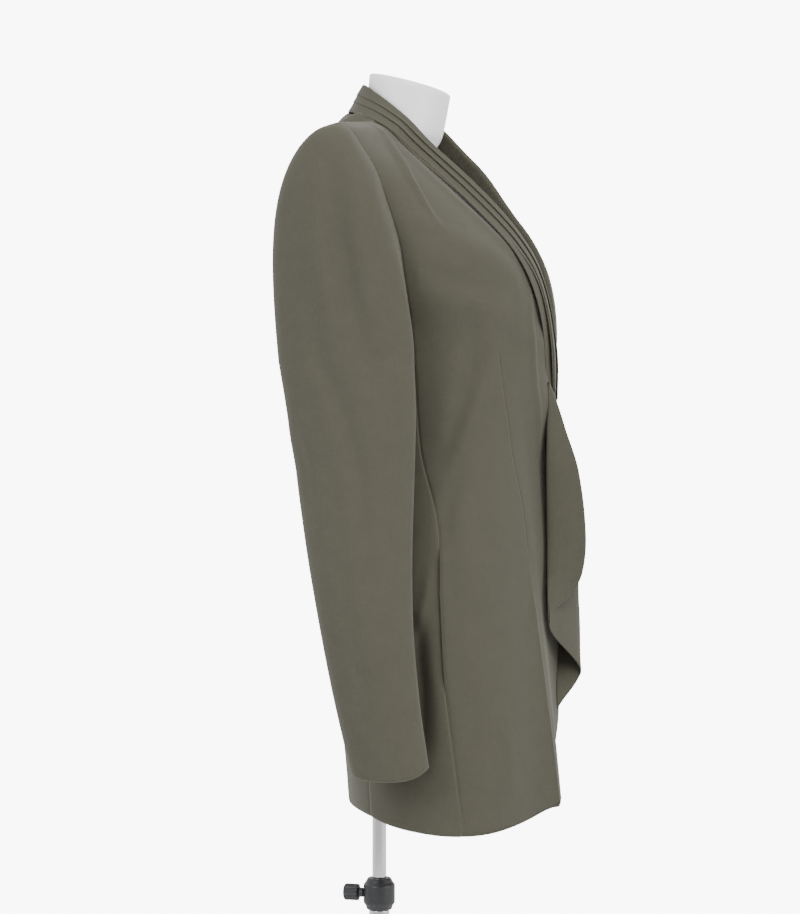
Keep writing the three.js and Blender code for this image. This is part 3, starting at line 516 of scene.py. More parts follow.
def drape(folds, degrees, height, degree_width):
    """Soft folds, given one by one. Each has a lift and a width in millimetres, and a path of points, by degrees
    round the piece and height. The cloth rises by the lift times a bell of the distance from the path over
    the width, and fades out towards both ends of the path."""
    across, along_it = degrees * degree_width, height
    rise = np.zeros(np.broadcast(across, along_it).shape)
    for lift, width, *path in folds:
        path = np.array(path, float) * (degree_width, 1)
        lengths = np.linalg.norm(np.diff(path, axis=0), axis=1)
        starts = np.concatenate([[0], np.cumsum(lengths)])
        nearest = np.full(rise.shape, np.inf)
        share = np.zeros(rise.shape)
        for p, q, start, length in zip(path, path[1:], starts, lengths):
            t = np.clip(((across - p[0]) * (q[0] - p[0]) + (along_it - p[1]) * (q[1] - p[1])) / length ** 2, 0, 1)
            away = np.hypot(across - p[0] - t * (q[0] - p[0]), along_it - p[1] - t * (q[1] - p[1]))
            closer = away < nearest
            nearest = np.where(closer, away, nearest)
            share = np.where(closer, (start + t * length) / starts[-1], share)
        rise += lift * np.exp(-(nearest / width) ** 2) * np.sin(np.pi * np.clip(share, 0, 1)) ** 0.6
    return rise


def moved_folds(folds, softer, round_by, up_by):
    """The same folds for the other side, where they fall a little differently."""
    return [(lift * softer, width / softer, *((turn + round_by, height + up_by) for turn, height in path))
            for lift, width, *path in folds]


DEGREE_WIDTH = 3.2
FRONT_FOLDS = [
    (4.4, 5, (31, 1424), (36, 1404), (45, 1380), (52, 1356), (56, 1330), (57, 1306)),
    (2.0, 9, (31, 1405), (34, 1368), (33, 1342), (29, 1307), (24, 1283), (22, 1258)),
    (2.6, 15, (66, 1322), (54, 1299), (41, 1285), (27, 1268)),
    (-3.0, 16, (72, 1270), (60, 1254), (42, 1247), (32, 1250)),
    (3.6, 10, (38, 1246), (47, 1208), (55, 1148), (62, 1117), (69, 1082), (73, 1035)),
    (-3.6, 11, (54, 1236), (59, 1167), (69, 1097), (75, 1060)),
    (2.4, 5, (22, 1262), (27, 1211), (27, 1185), (25, 1149), (20, 1112), (16, 1080)),
    (-3.0, 9, (67, 1085), (71, 1050), (74, 1017), (75, 980)),
    (1.8, 16, (69, 1005), (67, 968), (65, 925)),
    (-2.6, 13, (73, 870), (72, 830), (72, 800), (73, 760)),
    (1.2, 10, (62, 840), (60, 790), (58, 735)),
]
SIDE_FOLDS = [
    (-11, 8, (87, 925), (86, 905), (85.8, 880), (85.5, 850), (85.8, 815), (86.5, 765)),
    (2.2, 5, (80.5, 975), (83, 940), (85.6, 912), (89, 885), (91, 850)),
    (-4.0, 14, (94, 960), (93, 890), (91, 820), (90, 760)),
    (2.0, 12, (99, 930), (98, 860), (97, 780)),
]
BACK_FOLDS = [
    (-3.2, 12, (118, 1130), (126, 1100), (138, 1078), (152, 1068)),
    (2.2, 10, (120, 1100), (130, 1074), (146, 1050), (160, 1046)),
    (-2.2, 14, (121, 1330), (124, 1270), (127, 1210), (129, 1160)),
    (-2.4, 15, (130, 980), (133, 900), (135, 820), (136, 740)),
    (1.8, 13, (148, 940), (150, 860), (151, 760)),
    (1.6, 12, (140, 1390), (150, 1350), (158, 1300)),
]
BODY_FOLDS = {RIGHT: FRONT_FOLDS + SIDE_FOLDS + BACK_FOLDS,
              LEFT: moved_folds(FRONT_FOLDS, 0.85, 2, 8) + moved_folds(SIDE_FOLDS, 0.8, 1, -14)
              + moved_folds(BACK_FOLDS, 0.9, -2, 11)}
DART_LINE = table("height turn", (714, 39), (820, 40), (902, 40), (960, 39.6), (1000, 39.4), (1031, 40),
                  (1056, 41.8), (1087, 43.4), (1138, 45.1), (1186, 46.2), (1250, 47), (1432, 47))
DART_TOP, DART_FOOT = 1188.0, 985.0


def body_rise(side, turn, height):
    """The rise of all the folds on one half of the jacket's body."""
    return drape(BODY_FOLDS[side], np.degrees(turn), height, DEGREE_WIDTH)


def eased_seam(distance, depth=0.25, reach=1.8):
    """Cloth sinks into a seam by a depth that fades with the distance from it."""
    return -depth * np.exp(-(distance / reach) ** 2)


def dart(distance, height):
    """Down to its foot the dart is a stitched line that the cloth sinks into. Below it the cloth stands up
    in a fold: a narrow crest, steep on both sides."""
    stitched = plateau(height, DART_FOOT - 12, DART_FOOT + 12, DART_TOP - 6, DART_TOP)
    folded = 1 - smooth(height, DART_FOOT - 70, DART_FOOT)
    return -0.8 * stitched * np.exp(-(distance / 1.3) ** 2) + 2.6 * folded * np.exp(-np.abs(distance) / 4.5)


POCKET_FOOT, POCKET_TOP = 846.0, 998.0


def pocket_mouth(height):
    """1 where the side seam is left open for the hand, 0 where it is sewn."""
    return plateau(height, POCKET_FOOT, POCKET_FOOT + 26, POCKET_TOP - 23, POCKET_TOP)


def averaged(grid, axis, spread):
    """Each point becomes the mean of its neighbours along one axis, weighted by a bell of their distance."""
    steps = np.arange(-2 * spread, 2 * spread + 1)
    weights = np.exp(-(steps / spread) ** 2)
    weights = weights / weights.sum()
    pad = [(0, 0)] * grid.ndim
    pad[axis] = (2 * spread, 2 * spread)
    wide = np.pad(grid, pad, mode="edge")
    count = grid.shape[axis]
    return sum(w * np.take(wide, np.arange(count) + k, axis) for k, w in enumerate(weights))


def joined_at_chest(face, level):
    """The tables for the chest start at level 1, and the cloth passes over that line without an edge."""
    return mix(face, averaged(face, 0, 9), np.exp(-((level - 1) / 0.1) ** 4)[..., None])


def panel_lean(face, level, crest=True):
    """Out of the panel, but upwards at the shoulder seam."""
    normal = outward(face)
    if not crest:
        return normal
    return unit(mix(normal, np.array([0, 0, 1.0]), smooth(level, 1.8, 2.0)[..., None]))


def neck_rise(face, level):
    """How far the cloth climbs towards the neck seam, most at the middle of the back."""
    inset = np.abs(face[..., 0])
    behind = 11 + 6 * (1 - smooth(inset, 20, 50))
    return behind * smooth(level, np.where(face[..., 1] > -14, 1.75, 1.92), 2) * (1 - smooth(inset, 60, 84))


FULLER = {RIGHT: (7, 900, 4), LEFT: (10, 780, 5)}
UNDER_COLLAR = 14.0


def front_panel(side):
    """From the free edge to the side seam or the armhole, hem to shoulder. Columns crowd at the dart. Beside
    its edge the front is fuller at the waist and at the closure, so that it closes up to the collar."""
    level = np.linspace(0, 2, 231)[:, None]
    height = level_height(level)
    under_collar = UNDER_COLLAR * plateau(height, 1160, 1210, 1310, 1350)
    inner = turn_at(side, read(FRONT_EDGE, "height", "across", height) - under_collar, height)
    outer = outer_turn(level, "front") - PANEL_GAP
    dart_share = (np.radians(read(DART_LINE, "height", "turn", height)) - inner) / (outer - inner)
    u = gathered_at(np.clip(dart_share, 0.1, 0.9), 44, 50)
    turn = mix(inner, outer, u)
    face = joined_at_chest(body_face(side, turn, level), level)
    under = (1 - smooth(u, 0, 0.16)) * smooth(height, 1130, 1180)
    face[..., 1] += 1.3 * under - 0.3 * smooth(level, 1.8, 1.95)
    face[..., 2] += neck_rise(face, level)
    at_waist, low, at_closure = FULLER[side]
    fuller = at_waist * plateau(height, low, 1000, 1120, 1180)
    fuller += at_closure * plateau(height, 1060, 1130, 1200, 1225)
    face[..., 1] -= fuller * (1 - smooth(u, 0.2, 0.5))
    reach = face_reach(face)
    from_seam = (outer - turn) * reach
    rise = body_rise(side, turn, face[..., 2]) + eased_seam(from_seam)
    rise += 1.8 * pocket_mouth(height) * np.exp(-(from_seam / 8) ** 2)
    rise += dart((turn - np.radians(read(DART_LINE, "height", "turn", height))) * reach, face[..., 2])
    rise *= 1 - 0.8 * (1 - smooth(u, 0, 0.2)) * smooth(height, 1130, 1180)
    return finished_panel(side, face, rise, level)


def face_reach(face):
    """Millimetres a radian of turn is worth at a point: its distance from the middle of the section."""
    return np.hypot(face[..., 0], face[..., 1] + 60)


def finished_panel(side, face, rise, level, crest=True):
    """The face, lifted by the rise along its own direction, as a sheet of cloth."""
    face, rise, level = (facing_out(side, grid) for grid in (face, rise, level + 0 * rise))
    face = face + outward(face) * rise[..., None]
    return cloth_shell(face, CLOTH, panel_lean(face, level, crest))


def side_panel(side):
    """From the front's seam to the back's, hem to armhole, with the top edge dipped under the arm."""
    u = np.linspace(0, 1, 41)[None, :]
    level = np.linspace(0, 1, 131)[:, None] * (1 - UNDERARM_DIP * np.sin(np.pi * u))
    height = level_height(level)
    front = np.radians(read(SIDE_FRONT_SEAM, "height", "turn", height)) + PANEL_GAP
    back = np.radians(read(SIDE_BACK_SEAM, "height", "turn", height)) - PANEL_GAP
    turn = mix(front, back, u)
    face = body_face(side, turn, level)
    reach = face_reach(face)
    rise = body_rise(side, turn, face[..., 2]) + eased_seam((turn - front) * reach)
    rise += eased_seam((back - turn) * reach)
    rise -= pocket_mouth(height) * np.exp(-((turn - front) * reach / 9) ** 2)
    return finished_panel(side, face, rise, level, crest=False)


def back_panel(side):
    """From the side seam or the armhole to the middle of the back, hem to shoulder. Behind the neck the cloth
    leans in as it climbs."""
    level = np.linspace(0, 2, 221)[:, None]
    middle = np.pi - 1.4 * PANEL_GAP
    outer = outer_turn(level, "back") + PANEL_GAP
    turn = mix(outer, middle, np.linspace(0, 1, 71)[None, :])
    face = joined_at_chest(body_face(side, turn, level), level)
    face[..., 1] += 0.3 * smooth(level, 1.8, 1.95)
    climb = neck_rise(face, level)
    face[..., 1] += 0.15 * climb * (1 - smooth(np.abs(face[..., 0]), 40, 62))
    face[..., 2] += climb
    reach = face_reach(face)
    rise = body_rise(side, turn, face[..., 2]) + eased_seam((turn - outer) * reach)
    rise += eased_seam((middle - turn) * reach)
    return finished_panel(side, face, rise, level)


# The last is the width of the painted highlight along the cloth's edges, in metres.
WAVE_SCALE, THREAD_RELIEF, EDGE_HIGHLIGHT_WIDTH = 430.0, 0.00025, 0.0016


def weave_group():
    """The node group fine_wool. From the place on the cloth in metres it gives the colour, roughness and
    normal of a fine plain weave. Threads a little thicker or paler than the rest run up and across the
    cloth, as stretched noise. Wider noise makes it uneven, and crossed waves give the weave its relief."""
    group = bpy.data.node_groups.new("fine_wool", "ShaderNodeTree")
    for name, kind in (("Cloth", "NodeSocketVector"), ("Dark Thread", "NodeSocketColor"),
                       ("Pale Thread", "NodeSocketColor"), ("Relief", "NodeSocketFloat")):
        group.interface.new_socket(name, in_out="INPUT", socket_type=kind)
    for name, kind in (("Color", "NodeSocketColor"), ("Roughness", "NodeSocketFloat"),
                       ("Normal", "NodeSocketVector")):
        group.interface.new_socket(name, in_out="OUTPUT", socket_type=kind)
    start, end = group.nodes.new("NodeGroupInput"), group.nodes.new("NodeGroupOutput")

    def noise(scale, detail):
        return noise_at(group, stretched(group, start.outputs["Cloth"], scale), 1.0, detail, roughness=0.55)

    def combine(operation, first, second):
        node = add(group, "ShaderNodeMath", operation=operation)
        for socket, value in zip(node.inputs, (first, second)):
            if isinstance(value, float):
                socket.default_value = value
            else:
                group.links.new(value, socket)
        return node.outputs[0]

    warp, weft, patch = noise((1500, 70, 1), 2.0), noise((60, 1400, 1), 2.0), noise((42, 42, 42), 3.0)
    threads = combine("MULTIPLY", combine("ADD", warp, weft), 0.5)
    uneven = combine("ADD", combine("MULTIPLY", threads, 0.72), combine("MULTIPLY", patch, 0.28))
    contrast = add(group, "ShaderNodeMapRange", from_min=0.30, from_max=0.70)
    group.links.new(uneven, contrast.inputs["Value"])
    dark, pale = start.outputs["Dark Thread"], start.outputs["Pale Thread"]
    group.links.new(blended(group, contrast.outputs["Result"], dark, pale), end.inputs["Color"])
    group.links.new(shaded_by(group, uneven, 0.72, 0.9), end.inputs["Roughness"])
    waves = []
    for direction in "XY":
        wave = add(group, "ShaderNodeTexWave", bands_direction=direction, scale=WAVE_SCALE, distortion=1.2,
                   detail=1.0)
        group.links.new(start.outputs["Cloth"], wave.inputs["Vector"])
        waves.append(wave.outputs["Fac"])
    crossed = combine("ADD", combine("MULTIPLY", combine("MULTIPLY", *waves), 0.5), threads)
    relief = add(group, "ShaderNodeBump", distance=THREAD_RELIEF)
    group.links.new(start.outputs["Relief"], relief.inputs["Strength"])
    group.links.new(crossed, relief.inputs["Height"])
    group.links.new(relief.outputs["Normal"], end.inputs["Normal"])
    return group


def wool_material(name, dark, pale, edge_highlight, lining, relief, sheen):
    """The wool in one pair of thread colours, with the soft sheen of its nap. Close to an edge it is painted
    paler, a painted highlight for the light that the turned edge catches, and the inner face has the colour of the
    lining."""
    material, tree, skin = surface_material(name, dark, 0.82)
    place = add(tree, "ShaderNodeUVMap", uv_map="cloth").outputs["UV"]
    weave = add(tree, "ShaderNodeGroup")
    weave.node_tree = fine_wool
    weave.inputs["Dark Thread"].default_value = (*dark, 1)
    weave.inputs["Pale Thread"].default_value = (*pale, 1)
    weave.inputs["Relief"].default_value = relief
    tree.links.new(place, weave.inputs["Cloth"])
    # Painted highlight: within 1.6 mm of an edge the colour is mixed towards a paler one, for the light that the
    # turned edge catches.
    near = add(tree, "ShaderNodeMapRange", from_max=EDGE_HIGHLIGHT_WIDTH, to_min=1.0, to_max=0.0)
    from_edge = add(tree, "ShaderNodeAttribute", attribute_name="from_edge").outputs["Fac"]
    tree.links.new(from_edge, near.inputs["Value"])
    edge_lit_colour = blended(tree, near.outputs["Result"], weave.outputs["Color"], edge_highlight)
    inner = add(tree, "ShaderNodeAttribute", attribute_name="inner_face").outputs["Fac"]
    tree.links.new(blended(tree, inner, edge_lit_colour, lining), skin.inputs["Base Color"])
    for word in ("Roughness", "Normal"):
        tree.links.new(weave.outputs[word], skin.inputs[word])
    for word, value in (("Specular IOR Level", 0.25), ("Sheen Weight", sheen), ("Sheen Roughness", 0.35),
                        ("Sheen Tint", (0.62, 0.60, 0.52, 1))):
        skin.inputs[word].default_value = value
    return material


fine_wool = weave_group()
# The paler edge colour given here is a painted highlight, not a colour of the wool.
wool = wool_material("wool_face", dark=(0.050, 0.047, 0.033), pale=(0.064, 0.061, 0.0435),
                     edge_highlight=(0.074, 0.070, 0.051), lining=(0.040, 0.034, 0.024), relief=0.3, sheen=0.22)


def cloth_piece(name, shell, stands_for, cut, held, *rests_on):
    """A piece of the wool and the node that it stands for. The cut, its width, length and area in metres, is not
    used.
    """
    points, faces, on_cloth = shell
    piece = mesh_piece(name, points, faces, wool, [stands_for], "wool", on_cloth)


FRONT_CUTS = {RIGHT: (0.27, 0.765, 0.147), LEFT: (0.25, 0.77, 0.136)}
SIDE_CUT, BACK_CUT = (0.115, 0.48, 0.0433), (0.23, 0.76, 0.14)
for side, word in WORDS.items():
    for part, shell, cut in (("front", front_panel(side), FRONT_CUTS[side]), ("side", side_panel(side), SIDE_CUT),
                             ("back", back_panel(side), BACK_CUT)):
        cloth_piece(f"{part}_of_jacket_{word}", shell, f"{part}_{word}", cut, "draped", "dress_form")

# The pocket in each side-front seam: the seam is left open for a hand, and a strip of facing, sewn to the
# side panel, shows in it.
STRIP_DEGREES, STRIP_DEPTH, STRIP_CUT = 2.4, 2.4, (0.019, 0.154, 0.0027)


def pocket_strip(side):
    """A strip that follows the folds of the cloth over it, sunk by that cloth and by its own depth."""
    height = np.linspace(POCKET_FOOT, POCKET_TOP, 60)[:, None]
    seam = read(SIDE_FRONT_SEAM, "height", "turn", height)
    turn = np.radians(seam + np.linspace(-STRIP_DEGREES, STRIP_DEGREES, 15)[None, :])
    face = facing_out(side, body_face(side, turn, (height - HEM_HEIGHT) / (CHEST_HEIGHT - HEM_HEIGHT)))
    sunk = CLOTH + STRIP_DEPTH - facing_out(side, body_rise(side, turn, height + 0 * turn))
    return cloth_shell(face - outward(face) * sunk[..., None], FACING_CLOTH)


for side, word in WORDS.items():
    cloth_piece("pocket_strip_" + word, pocket_strip(side), "pocket_facing_" + word, STRIP_CUT, "hung",
                "side_" + word)

# The sleeves: two-piece, set in over a padded shoulder, with a full cap and a cuff that dips on the outside.
# The top sleeve wraps round to the front seam and the under sleeve closes it beside the body.
SLEEVE = table("height across ahead wide deep", (1176, 201, 18, 37, 69), (1116, 205, 25, 37, 64.5),
               (1050, 212, 31, 36, 58.5), (980, 226, 39, 34, 52), (910, 237, 49, 33, 46), (845, 242, 60, 32, 42),
               (776, 245, 74, 30, 38))
SLEEVE_HEAD, CUFF_HEIGHT, CUFF_RISE = 1176.0, 776.0, 5.0
CAP_SHARE, FRONT_SHARE, BACK_SHARE = 0.36, 0.4, 0.56
SLEEVE_FRONT_SEAM, SLEEVE_BACK_SEAM, SEAM_DEGREES, TIP_DEGREES, SET_IN = 125.0, 235.0, 0.25, 14.0, 0.6
ARM_FOLDS = [
    (2.2, 9, (-14, 1375), (-12, 1311), (-9.5, 1252), (-5, 1185), (-1, 1150)),
    (-5.0, 12, (-4, 1385), (-1, 1329), (3, 1291), (10, 1252), (17, 1213), (23, 1179), (28, 1140)),
    (2.4, 11, (24, 1372), (25, 1309), (27, 1261), (30, 1223), (34, 1180)),
    (-1.6, 7, (37, 1340), (36, 1300), (34, 1240)),
    (-4.0, 12, (-26, 1260), (-20, 1224), (-13, 1174), (-2, 1125), (8, 1077), (15, 1018), (16, 950)),
    (2.4, 10, (-24, 1180), (-9, 1116), (0, 1067), (5, 1018), (7, 960), (6, 920)),
    (1.8, 14, (59, 1225), (59, 1135), (54, 1067), (50, 1010)),
    (-2.0, 13, (-12, 930), (-8, 890), (-6, 850), (-8, 812)),
    (2.0, 12, (-40, 1130), (-34, 1060), (-30, 990), (-28, 900)),
    (-1.6, 10, (-60, 1110), (-45, 1075), (-38, 1030)),
    (-2.6, 9, (150, 1130), (175, 1105), (200, 1090)), (-2.2, 9, (150, 1085), (178, 1068), (205, 1060)),
    (-0.5, 16, (-54, 1085), (-78, 1068), (-110, 1060)), (0.5, 16, (-50, 1120), (-76, 1102), (-110, 1090)),
]
SLEEVE_FOLDS = {RIGHT: ARM_FOLDS, LEFT: moved_folds(ARM_FOLDS, 0.9, 3, -12)}


def armhole(side, share):
    """The loop from the shoulder tip down the front's edge, under the arm and up the back's edge."""
    front_level = 2 - np.clip(share / FRONT_SHARE, 0, 1)
    front = body_face(side, outer_turn(front_level, "front"), front_level)
    t = np.clip((share - FRONT_SHARE) / (BACK_SHARE - FRONT_SHARE), 0, 1)
    under_level = 1 - UNDERARM_DIP * np.sin(np.pi * t)
    height = level_height(under_level)
    fore, aft = (read(seam, "height", "turn", height) for seam in (SIDE_FRONT_SEAM, SIDE_BACK_SEAM))
    under = body_face(side, np.radians(mix(fore, aft, t)), under_level)
    back_level = 1 + np.clip((share - BACK_SHARE) / (1 - BACK_SHARE), 0, 1)
    back = body_face(side, outer_turn(back_level, "back"), back_level)
    share = share[..., None]
    return np.where(share < FRONT_SHARE, front, np.where(share < BACK_SHARE, under, back))


def sleeve_ring(side, turn, height):
    """An oval round the arm. At the cuff it dips on the outside and rises on the inside and at the front."""
    of = {name: read(SLEEVE, "height", name, height) for name in SLEEVE if name != "height"}
    curve = CUFF_RISE * (1 - smooth(height, CUFF_HEIGHT, CUFF_HEIGHT + 70))
    return at_side(side, of["across"] + of["wide"] * np.cos(turn), of["ahead"] + of["deep"] * np.sin(turn),
                   height - curve * np.cos(turn) + curve * np.maximum(np.sin(turn), 0) ** 4)


def sleeve_face(side, turn, v):
    """Turn 0 is the outside and 90 degrees the front. The cap is a cubic curve from the armhole to the first
    ring, and the rings follow to the cuff."""
    turn, v = np.broadcast_arrays(turn, v)
    height = mix(SLEEVE_HEAD, CUFF_HEIGHT, np.clip((v - CAP_SHARE) / (1 - CAP_SHARE), 0, 1))
    arm = sleeve_ring(side, turn, height)
    start = armhole(side, (turn / (2 * np.pi)) % 1)
    end = sleeve_ring(side, turn, np.full(turn.shape, SLEEVE_HEAD))
    span = np.linalg.norm(end - start, axis=-1)
    upness, backness = (1 + np.cos(turn)) / 2, np.maximum(-np.sin(turn), 0)
    out = unit(np.stack([np.full(turn.shape, float(side)), 0.45 * backness, mix(-0.05, 0.03, upness)], -1))
    start = start - out * SET_IN
    first = start + out * (span * mix(0.3, 0.22, upness))[..., None]
    second = end + np.stack([0 * turn, 9 * backness, span * mix(0.3, 0.66, upness)], -1)
    t = np.clip(v / CAP_SHARE, 0, 1)[..., None]
    cap = (1 - t) ** 3 * start + 3 * t * (1 - t) ** 2 * first + 3 * t ** 2 * (1 - t) * second + t ** 3 * end
    return np.where((v > CAP_SHARE)[..., None], arm, cap)


def sleeve_piece(side, start, end, columns):
    """The sleeve between two seams, given in degrees. Its cap is evened out under the shoulder's tip, and at
    its root the cloth is thick up and down only, so that it meets the armhole's edge."""
    degrees = mix(start + SEAM_DEGREES, end - SEAM_DEGREES, np.linspace(0, 1, columns)[None, :])
    v = np.linspace(0, 1, 201)[:, None]
    face = sleeve_face(side, np.radians(degrees), v)
    tip = np.exp(-(degrees / TIP_DEGREES) ** 4) * plateau(v, 0, 0.04, 0.3, CAP_SHARE)
    face = mix(face, averaged(face, 1, 5), tip[..., None])
    rise = drape(SLEEVE_FOLDS[side], degrees, face[..., 2], 1.0) * smooth(v, 0, 0.06)
    rise = rise + eased_seam(degrees - start) + eased_seam(end - degrees)
    face, rise = facing_out(side, face), facing_out(side, rise)
    face = face + outward(face) * rise[..., None]
    lean = outward(face)
    lean[..., 0] *= smooth(v, 0, 0.1)
    return cloth_shell(face, CLOTH, unit(lean))


TOP_CUT, UNDER_CUT = (0.26, 0.67, 0.119), (0.125, 0.5, 0.0415)
for side, word in WORDS.items():
    top = sleeve_piece(side, SLEEVE_BACK_SEAM - 360, SLEEVE_FRONT_SEAM, 101)
    cloth_piece("top_of_sleeve_" + word, top, "top_sleeve_" + word, TOP_CUT, "hung", "front_" + word,
                "back_" + word)
    under = sleeve_piece(side, SLEEVE_FRONT_SEAM, SLEEVE_BACK_SEAM, 41)
    cloth_piece("under_of_sleeve_" + word, under, "under_sleeve_" + word, UNDER_CUT, "hung", "side_" + word)

# The collar: three layers of the same wool, cut one wider than the other and folded along the roll, so that
# their turned edges lie like stairs. A stand under it is sewn to the neck seam.
COLLAR = table("roll_x roll_f roll_h out_x out_f out_h on_front",
               (0, -15.5, 1476, 0, -32, 1450, 0), (27, -8.5, 1474.5, 34, -23.5, 1447.5, 0),
               (46, 7, 1463, 62, -5, 1440, 0), (58, 28, 1446, 79, 20, 1428, 0), (66, 49, 1427, 86, 44, 1411, 1),
               (70, 73, 1401, 88, 75, 1385, 1), (64, 110, 1366, 86, 117, 1348, 1),
               (55, 141, 1333, 82, 148, 1316, 1), (44, 161, 1306, 76, 170, 1289, 1),
               (32, 174, 1281, 67, 181, 1262, 1), (23, 183, 1250, 57, 186, 1232, 1),
               (13, 188, 1216, 46, 189, 1204, 1), (3, 190, 1182, 37, 190.5, 1179, 1),
               (-9, 187.5, 1142, 28, 189, 1160, 1))
LAYER_WIDTHS = table("first second third", (0.37, 0.63, 1), (0.3, 0.6, 1), (0.22, 0.54, 1), (0.22, 0.52, 1),
                     (0.22, 0.5, 1))
LAYERS = ("first", "second", "third")
COLLAR_START, LEFT_COLLAR_END, OVER_FRONT, CROWN = 0.002, 0.925, 2.8, 2.5
PITCH_BEHIND, PITCH_AHEAD, ROLL_ROOM, FACING_WIDTH = 0.8, 2.1, 0.6, 28.0
LEFT_HIGHER, LEFT_FORWARD, LEFT_LAP = 9, 5, 3


def left_end(side, s):
    """The left collar narrows towards its end, which lies under the right front."""
    return 1 - 0.85 * smooth(s, LEFT_COLLAR_END - 0.075, LEFT_COLLAR_END) * (side == LEFT)


def collar_band(side, s, t):
    """S runs from the middle of the back to the closure, and t from the roll to the outer edge, which takes
    its depth from the front that it lies on. Beside the neck the left roll stands up, and its edge laps down."""
    of = {name: along(COLLAR, name, s) for name in COLLAR}
    t = t * left_end(side, s)
    across, height = mix(of["roll_x"], of["out_x"], t), mix(of["roll_h"], of["out_h"], t)
    laid = front_ahead(side, of["out_x"], of["out_h"]) + OVER_FRONT
    edge = mix(of["out_f"], laid, smooth(of["on_front"], 0, 1))
    ahead = mix(of["roll_f"], edge, t) + CROWN * np.sin(np.pi * t) * smooth(s, 0.5, 0.75)
    if side == LEFT:
        stands = (1 - t) * plateau(height, 1330, 1390, 1425, 1455)
        laps = t * plateau(height, 1400, 1420, 1436, 1450)
        ahead = ahead - left_tuck(across, height) + LEFT_FORWARD * stands
        height = height + LEFT_HIGHER * stands - LEFT_LAP * laps
    return at_side(side, across, ahead, height)


def collar_layer(side, tier):
    """One layer of the band, lifted by the layers below it, which lie closer together behind the neck. The
    first layer also wraps over the roll in a half circle and runs down inside the neck as its facing."""
    s = mix(COLLAR_START, LEFT_COLLAR_END if side == LEFT else 1, np.linspace(0, 1, 241)[None, :])
    t = np.linspace(0, 1, 17)[:, None] * along(LAYER_WIDTHS, LAYERS[tier], s)
    face = facing_out(side, collar_band(side, s, t))
    s = facing_out(side, s)[..., None]
    inner_width = (FACING_WIDTH - 1) * left_end(side, s[0])
    pitch = mix(PITCH_BEHIND, PITCH_AHEAD, smooth(s, 0.05, 0.4))
    normal = outward(face)
    face = face + normal * ((len(LAYERS) - 1 - tier) * pitch + COLLAR_CLOTH)
    if tier == 0:
        radius = (2 * pitch[0] + COLLAR_CLOTH + ROLL_ROOM) / 2
        down = unit(face[1] - face[0])
        centre = face[0] - normal[0] * radius
        bend = np.linspace(np.pi, 0, 10)[:-1, None, None]
        over = centre + radius * (np.cos(bend) * normal[0] - np.sin(bend) * down)
        inside = centre - radius * normal[0] + down * (1 + inner_width * np.linspace(1, 0, 9)[:, None, None])
        face = np.concatenate([inside, over, face])
    return cloth_shell(face, COLLAR_CLOTH * 0.9, rim=0.5, lined=False)


STAND_END, STAND_SHARE, STAND_LIFT, STAND_CUT = 63.0, 0.21, 1.2, (0.041, 0.072, 0.0029)


def stand_of_collar(side):
    """Straight up from the neck seam to just under the roll."""
    u, v = np.linspace(0, 1, 61)[None, :], np.linspace(0, 1, 13)[:, None]
    across = mix(0.2, STAND_END, u)
    foot = at_side(side, across, top_ahead(across, np.array(True)), NECK_SEAM_HEIGHT + STAND_LIFT + 0 * u)
    roll = collar_band(side, mix(COLLAR_START, STAND_SHARE, u), np.zeros((1, 1)))
    roll = roll + np.stack([-side * 3 * u, -1.7 * (1 - u), -2.5 + 0 * u], -1)
    return cloth_shell(facing_out(side, mix(foot, roll, v[..., None])), COLLAR_CLOTH)


LAYER_CUTS = {RIGHT: ((0.046, 0.485, 0.0202), (0.02, 0.48, 0.0088), (0.033, 0.485, 0.0149)),
              LEFT: ((0.046, 0.445, 0.0184), (0.021, 0.44, 0.0083), (0.036, 0.442, 0.0144))}
for side, word in WORDS.items():
    for tier, cut in enumerate(LAYER_CUTS[side]):
        cloth_piece(f"collar_layer_{tier + 1}_{word}", collar_layer(side, tier), f"collar_tier_{tier + 1}_{word}",
                    cut, "folded", "front_" + word, "collar_stand_" + word)
    cloth_piece("neck_stand_" + word, stand_of_collar(side), "collar_stand_" + word, STAND_CUT, "folded",
                "dress_form")

# The cascade: one shaped piece of the wool, sewn in at the closure and folded into two leaves, one over the
# other. It hangs free, and its lower edges curl.
CASCADE = table("height a_x a_f b_x b_f c_x c_f d_x d_f",
                (1157, 29, 191.5, 31, 190, 5, 190, -11, 187), (1130, 25, 201, 32, 189.5, 3, 194, -17, 186),
                (1110, 24, 207, 33, 189, 0, 200, -22, 186), (1066, 25, 221, 36, 189, -3, 211, -28, 183),
                (999, 26, 229, 41, 190.5, -5, 215, -28, 187), (960, 28, 226, 48, 192, -4, 215, -27, 190.5),
                (938, 31, 217, 57, 194, -3, 215, -26, 190.5), (904, 42, 205, 62, 196.5, 0, 217, -23, 190),
                (870, 42, 205, 62, 197, 3, 218, 0, 194), (856, 42, 205, 61, 198, 4, 219, 12, 196),
                (836, 42, 205, 60, 198, 5, 219, 24, 198.5), (818, 42, 205, 60, 198, 5, 219, 30, 200.5))
CASCADE_EDGES = table("share top hem", (0, 1151, 938), (1 / 3, 1157.6, 904), (2 / 3, 1145.6, 856),
                      (1, 1139.6, 818))
CASCADE_CUT = (0.18, 0.275, 0.0335)


